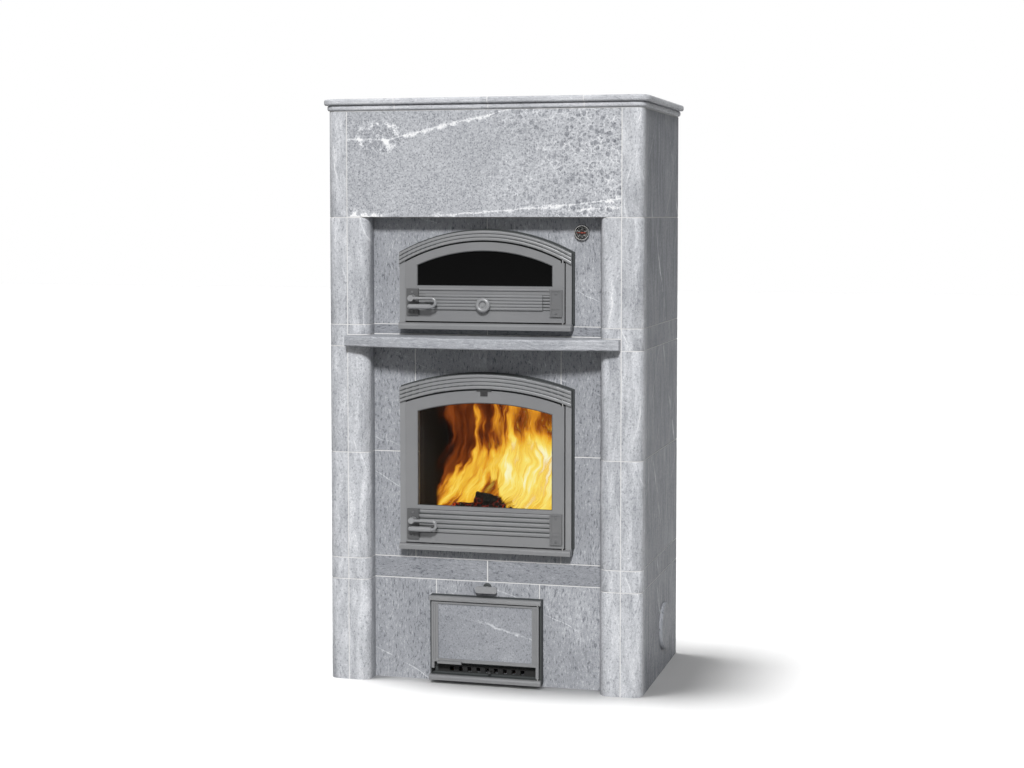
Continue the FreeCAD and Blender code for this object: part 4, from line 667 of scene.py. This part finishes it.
def begin(add, name, **settings):
    """Adds a primitive, with nothing else selected."""
    bpy.ops.object.select_all(action="DESELECT")
    add(**settings)
    piece = bpy.context.active_object
    piece.name = name
    piece.data.name = name
    return piece


def choose_faces(piece, test):
    """Goes into edit mode with only the faces selected whose middle and normal pass a test."""
    bpy.ops.object.mode_set(mode="EDIT")
    bpy.ops.mesh.select_mode(type="FACE")
    bpy.ops.mesh.select_all(action="DESELECT")
    bpy.ops.object.mode_set(mode="OBJECT")
    for face in piece.data.polygons:
        face.select = test(face.center, face.normal)
    bpy.ops.object.mode_set(mode="EDIT")


def only(piece):
    bpy.ops.object.select_all(action="DESELECT")
    piece.select_set(True)
    bpy.context.view_layer.objects.active = piece


def settle(piece, finish, body):
    """Bakes the place into the mesh, gives the finish and sets the piece on its body."""
    only(piece)
    bpy.ops.object.transform_apply(location=True, rotation=True, scale=True)
    piece.data.materials.clear()
    piece.data.materials.append(finish.material)
    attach(piece, body)
    triangles = sum(len(face.vertices) - 2 for face in piece.data.polygons)
    print(piece.name, "rides on", body, "with", triangles, "triangles")
    return piece


def apply_modifier(piece, kind, **settings):
    only(piece)
    step = piece.modifiers.new(kind.lower(), kind)
    for key, setting in settings.items():
        setattr(step, key, setting)
    bpy.ops.object.modifier_apply(modifier=step.name)


def again(piece, name):
    """A copy with its own mesh."""
    copy = piece.copy()
    copy.data = piece.data.copy()
    copy.name = name
    copy.data.name = name
    scene.collection.objects.link(copy)
    return copy


print("helpers ready")

# %% [markdown]
# Plates on the doors are held by slotted pan-head screws. The head is a short cylinder whose rim is
# bevelled. Two cuts across its face bound a strip, and that strip is pushed in to make the slot.
# One screw is modelled and then copied to each hole.

# %% One slotted screw
HEAD, CROWN, RIM = 0.0042, 0.0022, 0.0009
SLOT, SLOT_DEEP = 0.0005, 0.0011


def slotted_screw():
    """A screw head that faces -Y, its underside at y = 0."""
    screw = begin(bpy.ops.mesh.primitive_cylinder_add, "screw", vertices=24, radius=HEAD,
                  depth=CROWN, location=(0, -CROWN / 2, 0), rotation=(math.pi / 2, 0, 0))
    bpy.ops.object.transform_apply(location=True, rotation=True, scale=True)
    choose_faces(screw, lambda middle, normal: normal.y < -0.9)
    bpy.ops.mesh.bevel(offset=RIM, segments=3, affect="EDGES")
    for side in (-SLOT, SLOT):
        bpy.ops.mesh.select_all(action="SELECT")
        bpy.ops.mesh.bisect(plane_co=(0, 0, side), plane_no=(0, 0, 1))
    bpy.ops.object.mode_set(mode="OBJECT")
    choose_faces(screw, lambda middle, normal: normal.y < -0.9 and abs(middle.z) < SLOT)
    bpy.ops.mesh.extrude_region_move(TRANSFORM_OT_translate={"value": (0, SLOT_DEEP, 0)})
    bpy.ops.object.mode_set(mode="OBJECT")
    return screw


SCREW = slotted_screw()
print("screw has", len(SCREW.data.polygons), "faces")

# %% Screws on the plates
FROM_END = 0.0115
SUNK_FIELD = {"hinge_cover": 0.002, "latch_plate": 0.0}
turns = random.Random(7)
screws = []
for door in DOORS:
    for kind, sunk in SUNK_FIELD.items():
        plate = f"{door}_{kind}"
        low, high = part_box(plate)
        for end, height in (("lower", low.z + FROM_END), ("upper", high.z - FROM_END)):
            screw = again(SCREW, f"{plate}_{end}_screw")
            screw.location = ((low.x + high.x) / 2, low.y + sunk, height)
            screw.rotation_euler = (0, turns.uniform(0, math.pi), 0)
            screws.append(settle(screw, COVER, f"{door}_door"))
bpy.data.objects.remove(SCREW)
print(len(screws), "screws fitted")

# %% [markdown]
# The thermometer's dial is printed: a ring of ticks and a few temperatures. A tick is a bar that
# narrows inwards, long at every sixth place. The figures are text turned into a mesh before they
# are placed. Everything is joined into one piece, as one print would be.

# %% Dial print
DIAL_LOW, DIAL_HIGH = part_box("thermometer_dial")
DIAL_MIDDLE = (DIAL_LOW + DIAL_HIGH) / 2
DIAL_TICKS, LONG_EVERY = 25, 6
LONG_TICK, SHORT_TICK = (0.0013, 0.0044), (0.0008, 0.0028)
TICK_RIM = 0.0185
FIGURES = ("0", "100", "200", "300", "400")
FIGURE_SIZE, FIGURE_RING = 0.0050, 0.0112
UNIT_SIZE, UNIT_RING = 0.0060, 0.0130
SWEEP = math.radians(270)
PRINT = 0.00012
HAIR = 0.000002


def dial_point(turn, radius):
    return (DIAL_MIDDLE.x + radius * math.sin(turn), DIAL_LOW.y,
            DIAL_MIDDLE.z + radius * math.cos(turn))


def dial_tick(number):
    """A tapered bar: a cube whose inner end is narrowed."""
    width, length = SHORT_TICK if number % LONG_EVERY else LONG_TICK
    turn = SWEEP * (number / (DIAL_TICKS - 1) - 0.5)
    tick = begin(bpy.ops.mesh.primitive_cube_add, "dial_tick", size=1.0)
    tick.scale = (width, PRINT, length)
    bpy.ops.object.transform_apply(location=False, rotation=False, scale=True)
    choose_faces(tick, lambda middle, normal: normal.z < -0.9)
    bpy.ops.transform.resize(value=(0.6, 1.0, 1.0))
    bpy.ops.object.mode_set(mode="OBJECT")
    tick.location = dial_point(turn, TICK_RIM - length / 2)
    tick.rotation_euler = (0, turn, 0)
    return tick


def dial_text(body, size, place):
    bpy.ops.object.select_all(action="DESELECT")
    bpy.ops.object.text_add(location=(0, 0, 0))
    words = bpy.context.active_object
    words.data.body = body
    words.data.size = size
    words.data.extrude = PRINT / 2
    words.data.align_x = "CENTER"
    words.data.align_y = "CENTER"
    bpy.ops.object.convert(target="MESH")
    bpy.ops.object.mode_set(mode="EDIT")
    bpy.ops.mesh.select_all(action="SELECT")
    bpy.ops.mesh.remove_doubles(threshold=HAIR)
    bpy.ops.mesh.dissolve_degenerate(threshold=HAIR)
    bpy.ops.mesh.normals_make_consistent(inside=False)
    bpy.ops.object.mode_set(mode="OBJECT")
    words.location = place
    words.rotation_euler = (math.pi / 2, 0, 0)
    return words


def join(parts, name):
    """Bakes each part's place into its mesh and makes one piece of them all."""
    bpy.ops.object.select_all(action="DESELECT")
    for part in parts:
        part.select_set(True)
    bpy.context.view_layer.objects.active = parts[0]
    bpy.ops.object.transform_apply(location=True, rotation=True, scale=True)
    bpy.ops.object.join()
    parts[0].name = name
    parts[0].data.name = name
    return parts[0]


marks = [dial_tick(number) for number in range(DIAL_TICKS)]
for number, figure in enumerate(FIGURES):
    turn = SWEEP * (number / (len(FIGURES) - 1) - 0.5)
    marks.append(dial_text(figure, FIGURE_SIZE, dial_point(turn, FIGURE_RING)))
marks.append(dial_text("°C", UNIT_SIZE, dial_point(math.pi, UNIT_RING)))
WHITE_PRINT = enamel("dial_print", (0.75, 0.75, 0.72, 1), (0.55, 0.55, 0.53, 1))
settle(join(marks, "thermometer_print"), WHITE_PRINT, "heater")

# %% [markdown]
# A log is a length of split wood: a rough round or a wedge. It starts as a ring of a few corners
# that is extruded step by step, each step nudged and resized as the grain wanders. A Displace
# modifier with a cloud texture then raises the bark, and Subdivision rounds what is left.

# %% Logs
GRAIN_NUDGE, GRAIN_SWELL = 0.0016, 0.045
draws = random.Random(21)
bark = bpy.data.textures.new("bark", "CLOUDS")
bark.noise_scale = 0.018
bark.noise_depth = 3


def split_log(name, corners, radius, length, taper, steps=14):
    """A log that lies along X. Each step is resized by the taper."""
    log = begin(bpy.ops.mesh.primitive_circle_add, name, vertices=corners, radius=radius,
                fill_type="NGON", rotation=(0, math.pi / 2, 0), location=(-length / 2, 0, 0))
    bpy.ops.object.transform_apply(location=True, rotation=True, scale=True)
    bpy.ops.object.mode_set(mode="EDIT")
    bpy.ops.mesh.select_all(action="SELECT")
    bpy.ops.transform.vertex_random(offset=radius * 0.28, seed=draws.randrange(1, 10000))
    for _ in range(steps):
        aside, lift = draws.uniform(-1, 1) * GRAIN_NUDGE, draws.uniform(-1, 1) * GRAIN_NUDGE
        nudge = (length / steps, aside, lift)
        bpy.ops.mesh.extrude_region_move(TRANSFORM_OT_translate={"value": nudge})
        swell = taper + draws.uniform(-GRAIN_SWELL, GRAIN_SWELL)
        bpy.ops.transform.resize(value=(1, swell, swell))
    bpy.ops.mesh.inset(thickness=radius * 0.18)
    bpy.ops.transform.translate(value=(-radius * 0.06, 0, 0))
    bpy.ops.mesh.select_all(action="SELECT")
    bpy.ops.mesh.normals_make_consistent(inside=False)
    bpy.ops.object.mode_set(mode="OBJECT")
    apply_modifier(log, "SUBSURF", levels=2, render_levels=2)
    apply_modifier(log, "DISPLACE", texture=bark, strength=radius * 0.34, mid_level=0.55)
    apply_modifier(log, "SUBSURF", levels=1, render_levels=1)
    only(log)
    bpy.ops.object.shade_smooth()
    return log


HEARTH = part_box("firebox_floor")[1].z
# Name, corners, radius, length, taper, the place of the middle, and the turn.
LOGS = [
    ("front_log", 8, 0.036, 0.36, 1.0, (-0.03, -0.145, HEARTH + 0.039), (0.3, 0.0, 0.04)),
    ("rear_log", 9, 0.038, 0.38, 1.0, (0.01, -0.065, HEARTH + 0.041), (0.1, 0.0, -0.04)),
    ("left_log", 6, 0.033, 0.20, 0.99, (-0.065, -0.125, HEARTH + 0.102), (0.9, -0.06, -0.10)),
    ("right_log", 7, 0.026, 0.12, 1.0, (0.100, -0.130, HEARTH + 0.092), (0.4, 0.10, 0.2)),
    ("top_log", 7, 0.023, 0.13, 0.985, (-0.015, -0.126, HEARTH + 0.136), (0.6, 0.16, 0.12)),
    ("leaning_log", 7, 0.030, 0.16, 0.93, (0.0, -0.062, HEARTH + 0.165), (0.7, -1.98, 0.0)),
]
print(len(LOGS), "logs to split for a hearth at", HEARTH)

# %% [markdown]
# Burning wood is black on the outside and glows in its cracks. The glow is an emission colour that
# shows only where a cell pattern's edges are close, hotter towards the bottom of the fire.

# %% Charred wood and embers
CRACK_SWAY = (0.02, 0.02, 0.02)
GLOW_TOP = HEARTH + 0.22
EMBER_GLOW = [(0.0, (0, 0, 0, 1)), (0.35, (0.25, 0.012, 0.0, 1)),
              (0.7, (0.9, 0.15, 0.01, 1)), (1.0, (1.0, 0.5, 0.08, 1))]


def charred_wood(name, cracks, hot_foot, strength):
    """Black wood with glowing cracks. It glows in full up to a height over the hearth."""
    wood = Finish(name, {"Roughness": 0.9, "Specular IOR Level": 0.15,
                         "Emission Strength": strength})
    place = wood.place()
    warp = wood.noise(place, 30.0, 3.0, output="Color")
    bent = wood.vector("MULTIPLY_ADD", warp, CRACK_SWAY, place)
    edge = wood.cells(bent, cracks, "DISTANCE_TO_EDGE")
    patches = wood.noise(place, 22.0, 3.0)
    ash = wood.step(wood.noise(place, 60.0, 4.0, 0.7), 0.55, 0.75)
    glow = wood.step(edge, 0.11, 0.0) * wood.step(patches, 0.42, 0.62)
    heat = glow * wood.step(wood.axes(place)[2], GLOW_TOP, HEARTH + hot_foot)
    wood.feed("Base Color", wood.mix(ash * 0.3, grey(0.006, -0.2), grey(0.03, -0.2)))
    wood.feed("Emission Color", wood.ramp(heat, EMBER_GLOW))
    wood.bump(wood.step(edge, 0.0, 0.15), 0.004)
    return wood


CHARRED = charred_wood("charred_wood", 55.0, 0.0, 1.2)
EMBER = charred_wood("ember", 90.0, 0.05, 5.0)
for name, corners, radius, length, taper, place, turn in LOGS:
    log = split_log(name, corners, radius, length, taper)
    log.location = place
    log.rotation_euler = turn
    settle(log, CHARRED, "heater")

# %% [markdown]
# Under the logs lies a bed of embers. One lump is modelled from an ico sphere that is pushed out
# of round, and copies of it are turned, sized and heaped over the grate. Few faces are enough,
# since there are many lumps.

# %% Ember bed
LUMPS, LUMP_RADIUS = 150, 0.011
BED_X, BED_Y, BED_FOOT = 0.02, -0.07, HEARTH + 0.009
BED_WIDE, BED_DEEP, BED_TALL = 0.185, 0.105, 0.038


def ember_lump():
    lump = begin(bpy.ops.mesh.primitive_ico_sphere_add, "ember_lump", subdivisions=2,
                 radius=LUMP_RADIUS)
    bpy.ops.object.mode_set(mode="EDIT")
    bpy.ops.mesh.select_all(action="SELECT")
    bpy.ops.transform.vertex_random(offset=0.0035, uniform=0.4, seed=5)
    bpy.ops.transform.resize(value=(1.25, 0.9, 0.8))
    bpy.ops.object.mode_set(mode="OBJECT")
    return lump


LUMP = ember_lump()
lumps = []
for number in range(LUMPS):
    around, reach = draws.uniform(0, math.tau), math.sqrt(draws.random())
    heap = (1 - reach) * BED_TALL
    lump = again(LUMP, f"ember_{number}")
    lump.location = (BED_X + BED_WIDE * reach * math.cos(around),
                     BED_Y + BED_DEEP * reach * math.sin(around),
                     BED_FOOT + heap * draws.random())
    lump.rotation_euler = [draws.uniform(0, math.tau) for _ in range(3)]
    lump.scale = [draws.uniform(0.6, 1.5)] * 3
    lumps.append(lump)
bpy.data.objects.remove(LUMP)
settle(join(lumps, "ember_bed"), EMBER, "heater")

# %% [markdown]
# Flames are sheets of burning gas. A simulation would be heavy and would differ from run to run, so
# each sheet is a curved grid whose material draws the flame. Its strands follow one bent stream:
# they lean over the logs and then rise. The heat is greatest low on the right, dark red smoke hangs
# over the left, and a noise stretched along the stream gives the strands. The alpha lets what lies
# behind show through. A sheet has two skins, so each skin takes half of the covering: the square
# root of what passes through both.

# %% Flame finish
FLAME_FOOT = HEARTH + 0.015
FLAME_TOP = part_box("fire_door_glass")[1].z + 0.02
SIGHT_LEFT, SIGHT_WIDE = -0.295, 0.467
SIGHT_LOW, SIGHT_TALL = 0.534, 0.342
SIDE_FADE = (0.235, 0.215)
DRIFT, EDDY = (0.10, 0.0, 0.06), (0.024, 0.0, 0.024)
MEAN_X, MEAN_Z = [(DRIFT[axis] + EDDY[axis]) / 2 for axis in (0, 2)]
HEAT = [(0.0, (0.006, 0.001, 0.0, 1)), (0.16, (0.075, 0.012, 0.002, 1)),
        (0.30, (0.26, 0.055, 0.006, 1)), (0.48, (0.74, 0.29, 0.018, 1)),
        (0.66, (0.93, 0.56, 0.050, 1)), (0.84, (1.0, 0.80, 0.17, 1)), (1.0, (1.0, 0.95, 0.58, 1))]


def stirred(flame, place):
    """How far a point lies across and up the window, from 0 to 1, once the gas has stirred it."""
    slow = flame.vector("MULTIPLY", place, (7.0, 9.0, 6.0))
    drift = flame.noise(slow, 1.0, 3.0, 0.55, "Color")
    drifted = flame.vector("MULTIPLY_ADD", drift, DRIFT, place)
    eddy = flame.noise(drifted, 15.0, 1.0, 0.5, "Color")
    x, _, z = flame.axes(flame.vector("MULTIPLY_ADD", eddy, EDDY, drifted))
    return (x - MEAN_X - SIGHT_LEFT) / SIGHT_WIDE, (z - MEAN_Z - SIGHT_LOW) / SIGHT_TALL


def flame_heat(flame, across, up, depth):
    """Heat in strands along a bent stream, with a bright core, a dark hollow and red smoke."""
    lag = flame.maths("MAXIMUM", 1 - up / 0.8, 0.0)
    stream = across - 0.36 * (1 - lag * lag) * (1 - 0.55 * across)

    def strands(narrow, layers, waves, detail):
        place = flame.stack(stream * narrow, depth * layers, up * waves)
        return flame.noise(place, 1.0, detail, 0.5) - 0.5

    ribbon = strands(9.0, 10.0, 1.9, 3.0)
    lick = strands(26.0, 20.0, 2.6, 2.0)
    hair = strands(75.0, 20.0, 4.0, 2.0)
    thread = flame.step(abs(lick), 0.045, 0.0)
    core = flame.step(oval(across, up, (0.86, 0.36), (0.36, 0.46)), 1.5, 0.0)
    leaning = across + 0.22 * (up - 0.2)
    gap = oval(leaning, up, (0.60, 0.15), (0.10, 0.30))
    hollow = flame.step(gap + 3.0 * ribbon, 1.3, 0.3)
    brink = 0.19 + 0.07 * flame.step(up, 0.0, 0.35) + 0.17 * flame.step(up, 0.30, 0.75)
    body = flame.step(across + 0.7 * ribbon - brink, -0.09, 0.16)
    fire = (0.45 + 0.60 * core - 0.10 * flame.step(up, 0.6, 1.0) + 1.25 * ribbon + 0.55 * lick
            + 0.16 * hair + 0.08 * thread - 0.46 * hollow)
    smoke = 0.225 + 0.45 * ribbon + 0.25 * lick
    smoke = flame.step(across + 0.35 * ribbon, 0.12, 0.25) * smoke
    return flame.maths("MAXIMUM", body * fire, smoke)


def flame_finish(name, clear, solid, cooler=0.0):
    """Gas that shows from one heat, clear, to another, solid. It may look cooler than it is."""
    flame = Finish(name, {"Base Color": (0, 0, 0, 1), "Roughness": 1.0, "Specular IOR Level": 0.0,
                          "Emission Strength": 1.05})
    place = flame.place()
    x, y, z = flame.axes(place)
    heat = flame_heat(flame, *stirred(flame, place), y)
    flame.feed("Emission Color", flame.ramp(heat - cooler, HEAT))
    edge = flame.step(z, FLAME_FOOT, FLAME_FOOT + 0.03) * flame.step(abs(x), *SIDE_FADE)
    flame.feed("Alpha", 1 - (1 - flame.step(heat, clear, solid) * edge) ** 0.5)
    return flame


FLAME = flame_finish("flame", 0.02, 0.30)
WISPS = flame_finish("flame_wisps", 0.72, 1.05, 0.30)
print("flames stand from", FLAME_FOOT, "to", FLAME_TOP)

# %% Flame sheets
SHEET_WIDE, SHEET_TALL = 0.47, FLAME_TOP - FLAME_FOOT
SHEET_WAVE, SHEET_THICK = 0.03, 0.001
SHEETS = (("front_flames", -0.155, WISPS), ("middle_flames", -0.075, FLAME),
          ("back_flames", 0.03, FLAME))
waves = bpy.data.textures.new("flame_waves", "CLOUDS")
waves.noise_scale = 0.12
for name, depth, finish in SHEETS:
    sheet = begin(bpy.ops.mesh.primitive_grid_add, name, x_subdivisions=36, y_subdivisions=30,
                  size=1.0, rotation=(math.pi / 2, 0, 0),
                  location=(0, depth, FLAME_FOOT + SHEET_TALL / 2))
    sheet.scale = (SHEET_WIDE, SHEET_TALL, 1.0)
    bpy.ops.object.transform_apply(location=True, rotation=True, scale=True)
    apply_modifier(sheet, "DISPLACE", texture=waves, texture_coords="LOCAL", direction="Y",
                   strength=SHEET_WAVE, mid_level=0.5)
    apply_modifier(sheet, "SOLIDIFY", thickness=SHEET_THICK, offset=0.0)
    only(sheet)
    bpy.ops.object.shade_smooth()
    settle(sheet, finish, "heater")

# %% [markdown]
# The room is a plain pale studio. A soft sun from the upper right is the key light, a weak one from
# behind keeps the far sides from going black, and a third falls on the floor alone, so that the
# floor stays white and carries one short soft shadow. The sky is even, and the backdrop white.

# %% Floor


def pale_floor():
    paint = Finish("pale_floor", {"Roughness": 0.9, "Specular IOR Level": 0.1})
    fleck = paint.noise(paint.place(), 3.0, 3.0)
    paint.feed("Base Color", paint.mix(fleck, grey(0.76), grey(0.8)))
    return paint


floor = begin(bpy.ops.mesh.primitive_plane_add, "studio_floor", size=60.0)
floor.data.materials.append(pale_floor().material)
floor.visible_diffuse = False
print("floor laid")

# %% Sky
SKY_ABOVE, SKY_BELOW = 0.44, 0.28
SKY_RISE = {"From Min": -0.3, "From Max": 0.3, "To Min": SKY_BELOW, "To Max": SKY_ABOVE}
scene.world = bpy.data.worlds.new("studio")
scene.world.use_nodes = True
sky = scene.world.node_tree
sky.nodes.clear()
backdrop, glow = [sky.nodes.new("ShaderNodeBackground") for _ in range(2)]
ray = sky.nodes.new("ShaderNodeTexCoord")
height = sky.nodes.new("ShaderNodeSeparateXYZ")
rise = sky.nodes.new("ShaderNodeMapRange")
seen = sky.nodes.new("ShaderNodeLightPath")
either = sky.nodes.new("ShaderNodeMixShader")
out = sky.nodes.new("ShaderNodeOutputWorld")
for socket, number in SKY_RISE.items():
    rise.inputs[socket].default_value = number
for background in (backdrop, glow):
    background.inputs["Color"].default_value = (1.0, 1.0, 1.0, 1.0)
for source, target in (
        (ray.outputs["Generated"], height.inputs[0]),
        (height.outputs["Z"], rise.inputs["Value"]),
        (rise.outputs["Result"], glow.inputs["Strength"]),
        (seen.outputs["Is Camera Ray"], either.inputs[0]),
        (glow.outputs[0], either.inputs[1]),
        (backdrop.outputs[0], either.inputs[2]),
        (either.outputs[0], out.inputs[0])):
    sky.links.new(source, target)
print("sky", SKY_ABOVE, "above and", SKY_BELOW, "below the horizon")

# %% Three soft suns


def soft_sun(name, energy, height, side, spread, floor_only):
    """A sun so many degrees up and to the left (below 0: right), for the heater or the floor."""
    bpy.ops.object.light_add(type="SUN", location=(0, 0, 4))
    sun = bpy.context.active_object
    sun.name = name
    sun.data.energy = energy
    sun.data.angle = math.radians(spread)
    sun.rotation_euler = (math.radians(90 - height), 0, math.radians(-side))
    lit = bpy.data.collections.new(name + "_lights")
    lit.objects.link(floor)
    lit.collection_objects[0].light_linking.link_state = "INCLUDE" if floor_only else "EXCLUDE"
    sun.light_linking.receiver_collection = lit
    print(name, "stands", height, "degrees up and", side, "to the left")


soft_sun("key_light", 3.44, 34, -13, 9, False)
soft_sun("rear_light", 0.8, 35, 125, 30, False)
soft_sun("floor_light", 3.3, 81, 80, 13, True)
scene.view_settings.view_transform = "Standard"

# %% [markdown]
# The camera stands where the photographer stood: to the right of the middle, at eye height, some
# six metres off, with a long lens. Those numbers come from the corners of the courses in the
# picture.

# %% Camera
STAND = (1.6352, -6.0408, 1.5385)
DOWN, TURNED = math.radians(90 - 3.35), math.radians(15.01)
LENS, SENSOR, SHIFT = 65.173, 36.0, -0.06
bpy.ops.object.camera_add(location=STAND, rotation=(DOWN, 0, TURNED))
camera = bpy.context.active_object
camera.data.lens = LENS
camera.data.sensor_width = SENSOR
camera.data.shift_y = SHIFT
scene.camera = camera
print("camera at", tuple(camera.location))
